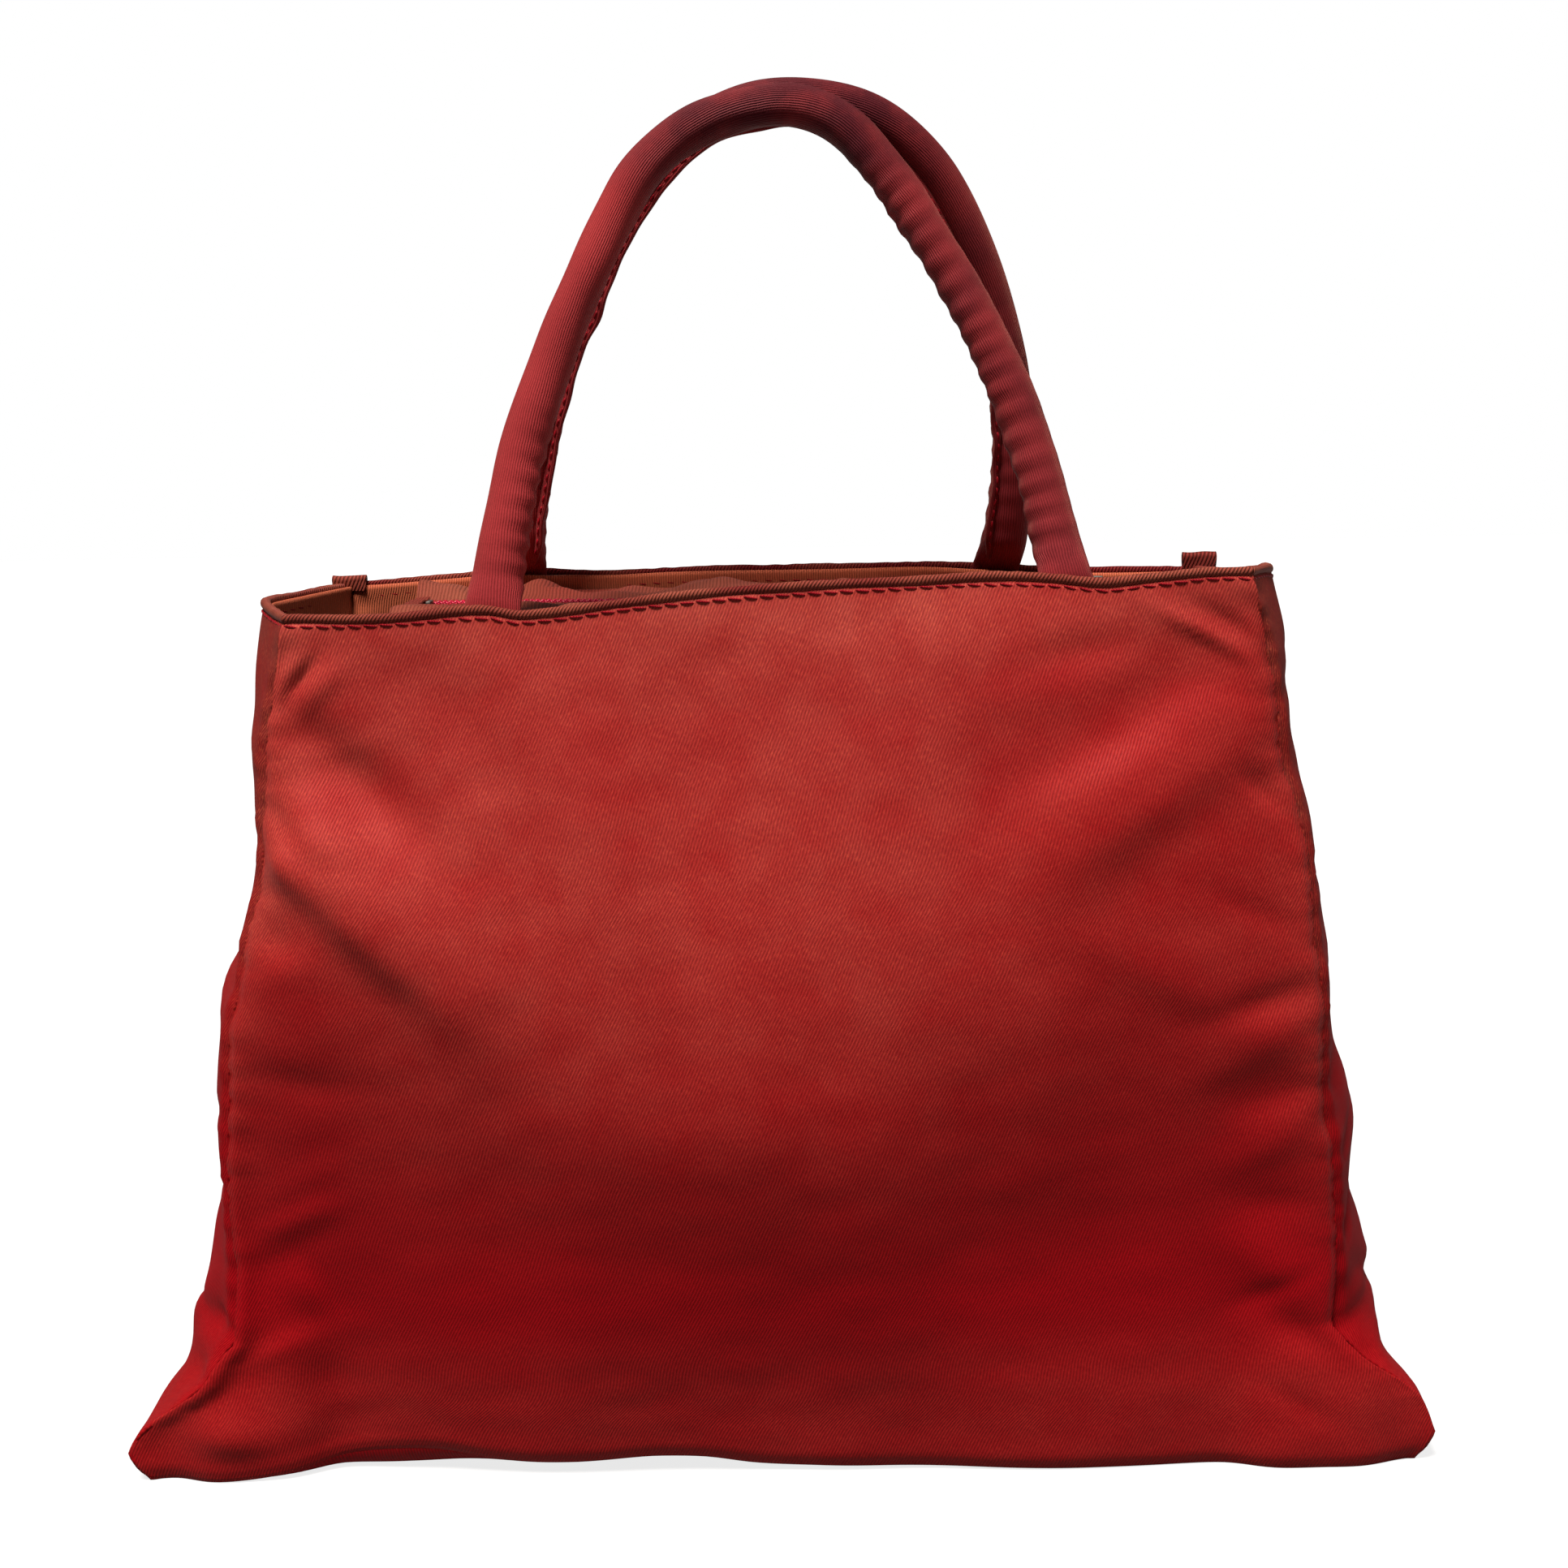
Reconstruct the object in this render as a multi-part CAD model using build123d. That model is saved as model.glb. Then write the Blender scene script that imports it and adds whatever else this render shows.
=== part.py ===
from build123d import *

import math
import os

# Foldable zip-top tote bag of nylon satin, in millimetres.
# +Z is up and the floor is z = 0. X runs along the mouth and -Y is the front of the bag.

# ---- body: outer sizes of the sewn shell ----
rim_height = 268.0  # floor to the top of the rim
mouth_width = 282.0  # side seam to side seam at the rim
mouth_depth = 90.0  # front to rear at the rim corners
waist_width = 340.0  # side seam to side seam just above the base corners
base_depth = 114.0  # front to rear at the base corners
ear_reach = 28.0  # how far each base corner stands out past the waist
ear_height = 45.0  # height at which the base corners have died into the sides
ear_peak = 0.2  # share of the ear's height at which it stands out furthest
ear_undercut = 0.12  # share of the reach lost again at the floor
belly = 22.0  # outward swell of the front and rear panels
rim_bow = 1.0  # outward bow of the long rims
gusset_bow = 16.0  # outward bow of the side gussets
taper_curve = 2.1  # 1 is a straight taper from waist to mouth, more is rounder

# ---- cloth layers, counted inwards from the shell's outer face ----
shell_cloth = 1.2  # satin and its backing
stiffener_cloth = 0.6
anchor_cloth = 1.4  # a handle sleeve's end pressed flat
facing_cloth = 0.8
lining_cloth = 0.8
pocket_cloth = 0.8
base_cloth = 1.2
base_lining_cloth = 0.7
layer_gap = 0.2  # air between two curved layers

# ---- rim ----
rim_roll_height = 4.0
rim_roll_proud = 0.6  # the rolled edge stands this far out of the panel
facing_height = 26.0
facing_drop = 2.0  # the facing's top edge below the rim top
stiffener_height = 24.0

# ---- corner tabs: the seam ends that stand up at the two rear corners ----
tab_width = 10.0
tab_height = 18.0
tab_stand = 4.0  # above the rim
tab_from_corner = 5.0

# ---- inner slip pocket ----
pocket_width = 120.0
pocket_height = 80.0
pocket_bottom = 120.0

# ---- recessed zip panel ----
zip_drop = 4.6  # top of the cloth strips below the rim top
strip_cloth = 0.8
zip_slot = 7.2  # between the two cloth strips, where the coil shows
tape_width = 14.0
tape_cloth = 0.6
coil_length = 209.6
coil_width = 2.3
coil_height = 1.4
coil_gap = 1.2  # between the two coil halves, for the slider's web
end_tab_length = 4.5
end_tab_width = 24.0
stop_length = 1.6
stop_width = 5.6
stop_height = 1.5
stop_gap = 0.4  # coil end to stop
end_tab_gap = 0.7  # stop to end tab

# ---- zip slider and its pull ----
run_gap = 0.3  # running clearance of the slider on coil and tape
slider_length = 9.0
slider_plate = 1.0
slider_flange = 0.6
slider_web = 0.6
slider_web_length = 7.0
bail_length = 6.8
bail_width = 1.6
bail_wire = 0.8
bail_opening = 2.1
pull_length = 20.0
pull_width = 5.6
pull_plate = 1.0
pull_arm = 1.0
pull_window = 3.8  # from the hinge bar to the solid part of the pull
pull_hole = 1.0  # radius of the hole near the pull's free end

# ---- handles ----
handle_diameter = 14.0
sleeve_cloth = 1.1
core_gap = 0.1
handle_span = 164.0  # between the centres of the two feet
handle_rise = 145.0  # centreline above the rim, along the leaning handle
shoulder_angle = 58.0
front_apex = -3.0  # sideways place of each handle's highest point
rear_apex = 15.6
front_foot_angles = (83.0, 83.0)
rear_foot_angles = (76.0, 90.0)
handle_gap = 0.4  # between the two handles where they lean together
foot_gap = 0.3  # sleeve end above the rim top
foot_run = 10.0  # straight run at each foot, before it is trimmed
seam_flange_reach = 2.6
seam_flange_cloth = 1.6
seam_flange_turn = 40.0  # from the inside of the arch towards the other handle
anchor_width = 22.0
anchor_height = 26.0

# ---- heights and depths that follow ----
wall_bottom = base_cloth
wall_top = rim_height - rim_roll_height
facing_top = rim_height - facing_drop
facing_bottom = facing_top - facing_height
lining_bottom = base_cloth + base_lining_cloth
stiffener_depth = shell_cloth + layer_gap
anchor_depth = stiffener_depth + stiffener_cloth + layer_gap
facing_depth = anchor_depth + anchor_cloth + layer_gap
inside_depth = facing_depth + facing_cloth
strip_top = rim_height - zip_drop
strip_bottom = strip_top - strip_cloth
tape_bottom = strip_bottom - tape_cloth
coil_top = strip_bottom + coil_height
zip_panel_length = coil_length + 2 * (stop_gap + stop_length + end_tab_gap + end_tab_length)
handle_radius = handle_diameter / 2
foot_z = rim_height + foot_gap
foot_y = -(mouth_depth / 2 - shell_cloth - layer_gap - handle_radius)
apex_y = -(handle_radius + handle_gap / 2)

os.makedirs("parts", exist_ok=True)


def save(shape, node):
    """Write one named piece."""
    export_step(shape, f"parts/{node}.step")


def outline(z):
    """Half width, half depth, front bow and side bow of the shell's outer face at height z."""
    t = min(1.0, max(0.0, (z - wall_bottom) / (wall_top - wall_bottom)))
    s = max(0.0, z / ear_height)
    if s < ear_peak:
        ear = 1 - ear_undercut * (1 - s / ear_peak)
    else:
        ear = 1 - min(1.0, (s - ear_peak) / (1 - ear_peak)) ** 1.1
    half_width = waist_width / 2 + (mouth_width - waist_width) / 2 * t**taper_curve + ear_reach * ear
    half_depth = base_depth / 2 + (mouth_depth - base_depth) / 2 * t
    front_bow = rim_bow + belly * math.sin(math.pi * t**0.65)
    side_bow = 0.5 + gusset_bow * (1 - math.exp(-3 * s * s))
    return half_width, half_depth, front_bow, side_bow


def wall_levels(low, high):
    """Heights of the sections of a wall between low and high."""
    rise = (wall_top - ear_height) / 6
    marks = [ear_height * ear_peak, ear_height * 0.45, ear_height * 0.72]
    marks += [ear_height + rise * k for k in range(7)]
    return [low] + [z for z in marks if low + 1 < z < high - 1] + [high]


def wall_section(side, z, outer, inner):
    """Closed outline of one wall at height z, between two depths below the shell's face."""
    half_width, half_depth, front_bow, side_bow = outline(z)
    ends = []
    for depth in (outer, inner):
        w, d = half_width - depth, half_depth - depth
        if side in ("front", "rear"):
            s = -1 if side == "front" else 1
            ends.append([(-w, s * d, z), (0, s * (d + front_bow), z), (w, s * d, z)])
        else:
            s = -1 if side == "left" else 1
            ends.append([(s * w, -d, z), (s * (w + side_bow), 0, z), (s * w, d, z)])
    (a, a_mid, b), (c, c_mid, d) = ends
    return Wire(
        [
            Edge.make_three_point_arc(a, a_mid, b),
            Edge.make_line(b, d),
            Edge.make_three_point_arc(d, c_mid, c),
            Edge.make_line(c, a),
        ]
    )


def wall(side, outer, inner, low, high):
    """One wall of cloth, mitred against its neighbours at the corners."""
    sections = [wall_section(side, z, outer, inner) for z in wall_levels(low, high)]
    return Solid.make_loft(sections, ruled=True)


def patch(side, outer, thickness, low, high, x_low, x_high):
    """A stretch of a long wall's layer between two places along X."""
    sheet = wall(side, outer, outer + thickness, low, high)
    reach = base_depth + belly
    window = Pos((x_low + x_high) / 2, 0, (low + high) / 2) * Box(x_high - x_low, 2 * reach, 2 * (high - low))
    return sheet & window


def floor_sheet(depth, low, thickness):
    """A flat sheet of the base's outline, drawn in by depth."""
    half_width, half_depth, front_bow, side_bow = outline(wall_bottom)
    w, d = half_width - depth, half_depth - depth
    edge = Wire(
        [
            Edge.make_three_point_arc((-w, -d, low), (0, -d - front_bow, low), (w, -d, low)),
            Edge.make_three_point_arc((w, -d, low), (w + side_bow, 0, low), (w, d, low)),
            Edge.make_three_point_arc((w, d, low), (0, d + front_bow, low), (-w, d, low)),
            Edge.make_three_point_arc((-w, d, low), (-w - side_bow, 0, low), (-w, -d, low)),
        ]
    )
    return extrude(Face(edge), thickness, dir=(0, 0, 1))


def inside_y(x, z, clear):
    """Depth at place x of the facing's inner face at height z, less a clearance."""
    half_width, half_depth, front_bow, _ = outline(z)
    return half_depth + front_bow * (1 - (x / half_width) ** 2) - inside_depth - clear


def block(x_low, x_high, y_low, y_high, z_low, z_high):
    """A box by its six faces."""
    size = Box(x_high - x_low, y_high - y_low, z_high - z_low)
    return Pos((x_low + x_high) / 2, (y_low + y_high) / 2, (z_low + z_high) / 2) * size


# ---- shell, rims, facings and linings ----
for side in ("front", "rear", "left", "right"):
    shell_name = f"{side}_panel" if side in ("front", "rear") else f"{side}_gusset"
    save(wall(side, 0, shell_cloth, wall_bottom, wall_top), shell_name)
    save(wall(side, -rim_roll_proud, shell_cloth, wall_top, rim_height), f"{side}_rim")
    save(wall(side, facing_depth, facing_depth + facing_cloth, facing_bottom, facing_top), f"{side}_facing")
    save(wall(side, facing_depth, facing_depth + lining_cloth, lining_bottom, facing_bottom), f"{side}_lining")
save(floor_sheet(0, 0, base_cloth), "base_panel")
save(floor_sheet(shell_cloth + layer_gap, base_cloth, base_lining_cloth), "base_lining")

# ---- rim stiffeners, between the shell and the handle anchors ----
for side in ("front", "rear"):
    stiffener = wall(side, stiffener_depth, stiffener_depth + stiffener_cloth, wall_top - stiffener_height, wall_top)
    save(stiffener, f"{side}_stiffener")

# ---- inner slip pocket on the rear lining ----
pocket_depth = facing_depth + lining_cloth + layer_gap
pocket_top = pocket_bottom + pocket_height
save(
    patch("rear", pocket_depth, pocket_cloth, pocket_bottom, pocket_top, -pocket_width / 2, pocket_width / 2),
    "inner_pocket",
)

# ---- seam ends standing up at the rear corners ----
tab_outer_x = mouth_width / 2 - tab_from_corner
tab_low = rim_height + tab_stand - tab_height
for name, x_low in (("left", -tab_outer_x), ("right", tab_outer_x - tab_width)):
    tab = patch("rear", anchor_depth, anchor_cloth, tab_low, rim_height + tab_stand, x_low, x_low + tab_width)
    save(tab, f"{name}_corner_tab")

# ---- flattened handle ends, sewn between stiffener and facing ----
for side in ("front", "rear"):
    for name, x in (("left", -handle_span / 2), ("right", handle_span / 2)):
        low = rim_height - anchor_height
        anchor = patch(side, anchor_depth, anchor_cloth, low, rim_height, x - anchor_width / 2, x + anchor_width / 2)
        save(anchor, f"{side}_{name}_handle_anchor")


# ---- zip panel ----
def zip_strip():
    """The front cloth strip of the zip panel, its long edge following the facing."""
    x = zip_panel_length / 2
    end_y = -inside_y(x, strip_top, layer_gap)
    mid_y = -inside_y(0, strip_top, layer_gap)
    slot_y = -zip_slot / 2
    z = strip_bottom
    edge = Wire(
        [
            Edge.make_three_point_arc((-x, end_y, z), (0, mid_y, z), (x, end_y, z)),
            Edge.make_line((x, end_y, z), (x, slot_y, z)),
            Edge.make_line((x, slot_y, z), (-x, slot_y, z)),
            Edge.make_line((-x, slot_y, z), (-x, end_y, z)),
        ]
    )
    return extrude(Face(edge), strip_cloth, dir=(0, 0, 1))


def zip_half():
    """Cloth strip, tape and coil of the front half of the zip."""
    x_tape = zip_panel_length / 2
    x_coil = coil_length / 2
    edge_y = -coil_gap / 2
    tape = block(-x_tape, x_tape, edge_y - tape_width, edge_y, tape_bottom, strip_bottom)
    coil = block(-x_coil, x_coil, edge_y - coil_width, edge_y, strip_bottom, coil_top)
    ridge = coil.edges().filter_by(Axis.X).group_by(Axis.Z)[-1]
    return {"zip_strip": zip_strip(), "zip_tape": tape, "zip_coil": fillet(ridge, coil_width * 0.3)}


for name, piece in zip_half().items():
    save(piece, f"front_{name}")
    save(mirror(piece, about=Plane.XZ), f"rear_{name}")

x_stop = coil_length / 2 + stop_gap
stop = block(x_stop, x_stop + stop_length, -stop_width / 2, stop_width / 2, strip_bottom, strip_bottom + stop_height)
save(Compound(children=[stop, mirror(stop, about=Plane.YZ)]), "zip_stops")

x_end = zip_panel_length / 2
end_tab = block(x_end - end_tab_length, x_end, -end_tab_width / 2, end_tab_width / 2, strip_top, strip_top + strip_cloth)
save(end_tab, "right_zip_end_tab")
save(mirror(end_tab, about=Plane.YZ), "left_zip_end_tab")

# ---- slider, stored at the right end with the zip closed ----
slider_x = coil_length / 2 - slider_length / 2 - run_gap
slider_low = tape_bottom - run_gap - slider_plate
slider_top = coil_top + run_gap + slider_plate
flange_inner = coil_gap / 2 + coil_width + run_gap
flange_low = strip_top + run_gap
slider_half = flange_inner + slider_flange
hinge_z = slider_top + bail_opening / 2


def slider_wing(low, half_width):
    """One rounded plate of the slider."""
    plate = extrude(RectangleRounded(slider_length, 2 * half_width, 1.8), slider_plate)
    return Pos(slider_x, 0, low) * plate


def zip_slider():
    """Top and bottom wings joined by the web, with side flanges and the bail for the pull."""
    body = slider_wing(slider_top - slider_plate, slider_half) + slider_wing(slider_low, slider_half)
    web = slider_web / 2
    body += block(
        slider_x - slider_web_length / 2, slider_x + slider_web_length / 2, -web, web, slider_low, slider_top
    )
    flange_x = slider_length / 2 - 2
    for s in (-1, 1):
        y = sorted((s * flange_inner, s * slider_half))
        body += block(slider_x - flange_x, slider_x + flange_x, *y, flange_low, slider_top)
    half = bail_length / 2
    bail = block(
        slider_x - half,
        slider_x + half,
        -bail_width / 2,
        bail_width / 2,
        slider_top,
        slider_top + bail_opening + bail_wire,
    )
    bail -= block(
        slider_x - half + bail_wire,
        slider_x + half - bail_wire,
        -bail_width,
        bail_width,
        slider_top,
        slider_top + bail_opening,
    )
    return body + bail


def zip_pull():
    """The pull tab, lying back along the coil from its hinge bar inside the bail."""
    bar = pull_arm / 2
    tab = Pos(bar - pull_length / 2, 0) * RectangleRounded(pull_length, pull_width, pull_width * 0.35)
    end = Pos(bar - pull_width * 0.35 / 2 - pull_arm, 0) * Rectangle(pull_width * 0.35 + 2 * pull_arm, pull_width)
    outline_face = tab + end
    window_middle = -bar - pull_window / 2
    outline_face -= Pos(window_middle, 0) * Rectangle(pull_window, pull_width - 2 * pull_arm)
    outline_face -= Pos(bar - pull_length + 2 * pull_hole + 1, 0) * Circle(pull_hole)
    flat = extrude(outline_face, pull_plate)
    return Pos(slider_x, 0, hinge_z - pull_plate / 2) * flat


save(zip_slider(), "zip_slider")
save(zip_pull(), "zip_pull")


# ---- handles ----
def arch_radii(span, foot_angle):
    """Radii of a half arch's two tangent arcs, side and top, that reach span across and the rise up."""
    foot, shoulder = math.radians(foot_angle), math.radians(shoulder_angle)
    side_across, side_up = math.sin(foot) - math.sin(shoulder), math.cos(shoulder) - math.cos(foot)
    top_across, top_up = math.sin(shoulder), 1 - math.cos(shoulder)
    scale = side_across * top_up - top_across * side_up
    side_radius = (span * top_up - handle_rise * top_across) / scale
    top_radius = (side_across * handle_rise - side_up * span) / scale
    return side_radius, top_radius


def arch_path(apex, foot_angles):
    """Centreline of the front handle: straight foot, two arcs up, two arcs down, straight foot."""
    lean = math.asin((apex_y - foot_y) / handle_rise)
    frame = Plane(
        origin=(0, foot_y, rim_height),
        x_dir=(1, 0, 0),
        z_dir=(0, -math.cos(lean), math.sin(lean)),
    )

    def place(point):
        return frame.from_local_coords(Vector(point[0], point[1], 0))

    def step(start, angle_from, angle_to, radius):
        a, b = math.radians(angle_from), math.radians(angle_to)
        return (start[0] + radius * (math.sin(a) - math.sin(b)), start[1] + radius * (math.cos(b) - math.cos(a)))

    left_foot, right_foot = foot_angles
    left_side, left_top = arch_radii(handle_span / 2 + apex, left_foot)
    right_side, right_top = arch_radii(handle_span / 2 - apex, right_foot)
    turns = [
        (left_foot, shoulder_angle, left_side),
        (shoulder_angle, 0, left_top),
        (0, -shoulder_angle, right_top),
        (-shoulder_angle, -right_foot, right_side),
    ]
    point = (-handle_span / 2, 0.0)
    angle = math.radians(left_foot)
    start = (point[0] - foot_run * math.cos(angle), point[1] - foot_run * math.sin(angle))
    edges = [Edge.make_line(place(start), place(point))]
    for angle_from, angle_to, radius in turns:
        middle = step(point, angle_from, (angle_from + angle_to) / 2, radius)
        end = step(point, angle_from, angle_to, radius)
        edges.append(Edge.make_three_point_arc(place(point), place(middle), place(end)))
        point = end
    angle = math.radians(-right_foot)
    end = (point[0] + foot_run * math.cos(angle), point[1] + foot_run * math.sin(angle))
    edges.append(Edge.make_line(place(point), place(end)))
    return Wire(edges), frame


def handle(apex, foot_angles):
    """Sleeve with its seam flange, and the core inside, both trimmed level above the rim."""
    path, frame = arch_path(apex, foot_angles)
    tangent = path % 0
    inside = tangent.cross(frame.z_dir)
    section = Plane(origin=path @ 0, x_dir=inside, z_dir=tangent)
    flange_from = handle_radius - sleeve_cloth / 2
    flange_to = handle_radius + seam_flange_reach
    flange = Pos((flange_from + flange_to) / 2, 0) * Rectangle(flange_to - flange_from, seam_flange_cloth)
    inner = handle_radius - sleeve_cloth
    ring = Circle(handle_radius) + Rot(0, 0, seam_flange_turn) * flange - Circle(inner)
    below = block(-mouth_width, mouth_width, -mouth_depth, mouth_depth, rim_height - 2 * foot_run, foot_z)
    sleeve = sweep(section * ring, path=path) - below
    core = sweep(section * Circle(inner - core_gap), path=path) - below
    return sleeve, core


front_sleeve, front_core = handle(front_apex, front_foot_angles)
save(front_sleeve, "front_handle_sleeve")
save(front_core, "front_handle_core")
rear_sleeve, rear_core = handle(rear_apex, rear_foot_angles)
save(mirror(rear_sleeve, about=Plane.XZ), "rear_handle_sleeve")
save(mirror(rear_core, about=Plane.XZ), "rear_handle_core")
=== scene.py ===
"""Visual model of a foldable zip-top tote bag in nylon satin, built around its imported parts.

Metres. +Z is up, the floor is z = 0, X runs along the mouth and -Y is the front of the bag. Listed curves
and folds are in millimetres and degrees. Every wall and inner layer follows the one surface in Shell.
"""

import logging
import math
from collections.abc import Sequence
from dataclasses import dataclass, field
from enum import Enum
from functools import cached_property

import bpy
import numpy as np
from mathutils import Matrix, Vector


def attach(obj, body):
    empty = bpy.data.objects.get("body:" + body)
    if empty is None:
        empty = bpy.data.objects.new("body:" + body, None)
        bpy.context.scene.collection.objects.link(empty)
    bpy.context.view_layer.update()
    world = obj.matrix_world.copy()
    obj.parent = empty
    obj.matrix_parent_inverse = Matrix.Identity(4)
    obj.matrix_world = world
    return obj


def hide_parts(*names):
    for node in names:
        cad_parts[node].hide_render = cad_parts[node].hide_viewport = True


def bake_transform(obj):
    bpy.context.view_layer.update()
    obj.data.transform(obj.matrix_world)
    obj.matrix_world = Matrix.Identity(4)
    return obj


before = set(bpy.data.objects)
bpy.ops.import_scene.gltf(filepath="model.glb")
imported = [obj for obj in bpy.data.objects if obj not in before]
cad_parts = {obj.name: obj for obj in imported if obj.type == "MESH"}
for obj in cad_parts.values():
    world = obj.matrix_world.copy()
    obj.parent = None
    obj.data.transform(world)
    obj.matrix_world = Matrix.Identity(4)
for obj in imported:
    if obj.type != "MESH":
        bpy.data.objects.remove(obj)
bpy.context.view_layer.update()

log = logging.getLogger("tote")
MM = 0.001
Array = np.ndarray
Object = bpy.types.Object
Material = bpy.types.Material
Socket = bpy.types.NodeSocket
Colour = tuple[float, float, float]
Pair = tuple[float, float]
Curve = Sequence[Pair]


class Side(Enum):
    """The four walls, in the order in which they go round the bag."""

    FRONT = "front"
    RIGHT = "right"
    REAR = "rear"
    LEFT = "left"

    @property
    def number(self) -> int:
        """Place of this wall in the order round the bag."""
        return list(Side).index(self)

    @property
    def outward(self) -> int:
        """Sign of the axis that this wall faces along."""
        return -1 if self in (Side.FRONT, Side.LEFT) else 1

    @property
    def rightward(self) -> int:
        """Sign of the axis that runs to the right for somebody who faces this wall."""
        return 1 if self in (Side.FRONT, Side.RIGHT) else -1

    @property
    def seams(self) -> tuple[tuple[int, int], tuple[int, int]]:
        """Signs of x and y at this wall's left and right seams, seen from outside."""
        ring = ((-1, -1), (1, -1), (1, 1), (-1, 1))
        return ring[self.number], ring[(self.number + 1) % 4]

    @property
    def is_long(self) -> bool:
        """True for the two walls that run along the mouth."""
        return self in (Side.FRONT, Side.REAR)

    @property
    def panel(self) -> str:
        """CAD node of this wall's outer cloth."""
        return f"{self.value}_panel" if self.is_long else f"{self.value}_gusset"


class Held(Enum):
    """How a sheet of cloth is held."""

    STRETCHED = "stretched"
    HUNG = "hung"
    LAID = "laid"
    FOLDED = "folded"


def through(points: Curve, x: Array) -> Array:
    """A smooth curve through listed points.

    Args:
        points: Places and values in millimetres, with rising places.
        x: Places in metres.

    Returns:
        The values at x, in metres.
    """
    places, values = np.array(points, float).T * MM
    slope = np.gradient(values, places)
    i = np.clip(np.searchsorted(places, x) - 1, 0, len(places) - 2)
    h = places[i + 1] - places[i]
    t = np.clip((x - places[i]) / h, 0, 1)
    t2, t3 = t * t, t * t * t
    return (
        (2 * t3 - 3 * t2 + 1) * values[i]
        + (t3 - 2 * t2 + t) * h * slope[i]
        + (3 * t2 - 2 * t3) * values[i + 1]
        + (t3 - t2) * h * slope[i + 1]
    )


def ease(x: Array, low: float, high: float) -> Array:
    """Smooth step from 0 at low to 1 at high."""
    t = np.clip((x - low) / (high - low), 0, 1)
    return t * t * (3 - 2 * t)


def bump(x: Array, width: float | Array, power: int = 2) -> Array:
    """A rounded bump: 1 at x = 0, dying away over its width."""
    return np.exp(-((x / width) ** power))


def ripples(
    a: Array, b: Array | float, seed: int, wave: float, stretch: float = 1.0, count: int = 9
) -> Array:
    """Even, smooth, seeded roughness.

    Args:
        a: First coordinate, in metres.
        b: Second coordinate, in metres.
        seed: Seed of the random directions and phases.
        wave: Typical wavelength, in metres.
        stretch: How many times longer the waves are along a.
        count: How many waves are added up.

    Returns:
        Values that stay mostly within -1 and 1.
    """
    rng = np.random.default_rng(seed)
    total = np.zeros(np.broadcast(a, b).shape)
    for _ in range(count):
        turn, phase = rng.uniform(0, 2 * math.pi, 2)
        k = 2 * math.pi / (wave * rng.uniform(0.7, 1.5))
        total += np.sin(k * (a * math.cos(turn) / stretch + b * math.sin(turn)) + phase)
    return total / math.sqrt(count)


def unit(vectors: Array) -> Array:
    """Vectors scaled to length 1."""
    return vectors / np.maximum(np.linalg.norm(vectors, axis=-1, keepdims=True), 1e-12)


def grid_normals(points: Array) -> Array:
    """Normals of a grid whose rows rise and whose columns run anticlockwise round the bag."""
    return unit(np.cross(np.gradient(points, axis=1), np.gradient(points, axis=0)))


def lengths_along(points: Array) -> Array:
    """Distance of each point of a line from its start."""
    steps = np.linalg.norm(np.diff(points, axis=0), axis=1)
    return np.concatenate([[0.0], np.cumsum(steps)])


def cloth_uv(points: Array) -> Array:
    """Cloth coordinates of a grid: distance across from its middle, and distance up.

    Args:
        points: The grid, rows by columns by 3.

    Returns:
        Rows by columns by 2, in metres.
    """
    middle = points.shape[1] // 2
    across = np.linalg.norm(np.diff(points, axis=1), axis=-1)
    across = np.concatenate([np.zeros((len(points), 1)), np.cumsum(across, 1)], 1)
    up = lengths_along(points[:, middle])[:, None]
    return np.stack(np.broadcast_arrays(across - across[:, middle, None], up), -1)


def mesh_object(
    name: str, points: Array, faces: Sequence[Sequence[int]], corner_uv: Array | None = None,
    fade_and_shading: Array | None = None,
) -> Object:
    """A smooth-shaded mesh object at the origin.

    Args:
        name: Piece name.
        points: Vertex places, in metres.
        faces: Vertex numbers of each face, anticlockwise from outside.
        corner_uv: Cloth coordinates of every face corner, in metres.
        fade_and_shading: Fading and painted light and shade at each vertex, from 0 to 1.

    Returns:
        The new object.
    """
    mesh = bpy.data.meshes.new(name)
    mesh.from_pydata(points.reshape(-1, 3).tolist(), [], [list(map(int, f)) for f in faces])
    if corner_uv is not None:
        layer = mesh.uv_layers.new(name="cloth")
        layer.data.foreach_set("uv", np.asarray(corner_uv, np.float32).ravel())
    if fade_and_shading is not None:
        layer = mesh.attributes.new("fade_and_shading", "FLOAT", "POINT")
        layer.data.foreach_set("value", np.asarray(fade_and_shading, np.float32).ravel())
    mesh.shade_smooth()
    mesh.validate()
    obj = bpy.data.objects.new(name, mesh)
    bpy.context.scene.collection.objects.link(obj)
    return obj


def grid_faces(index: Array) -> Array:
    """Four-sided faces between the rows and columns of a grid of vertex numbers."""
    return np.stack([index[:-1, :-1], index[:-1, 1:], index[1:, 1:], index[1:, :-1]], -1).reshape(-1, 4)


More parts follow.
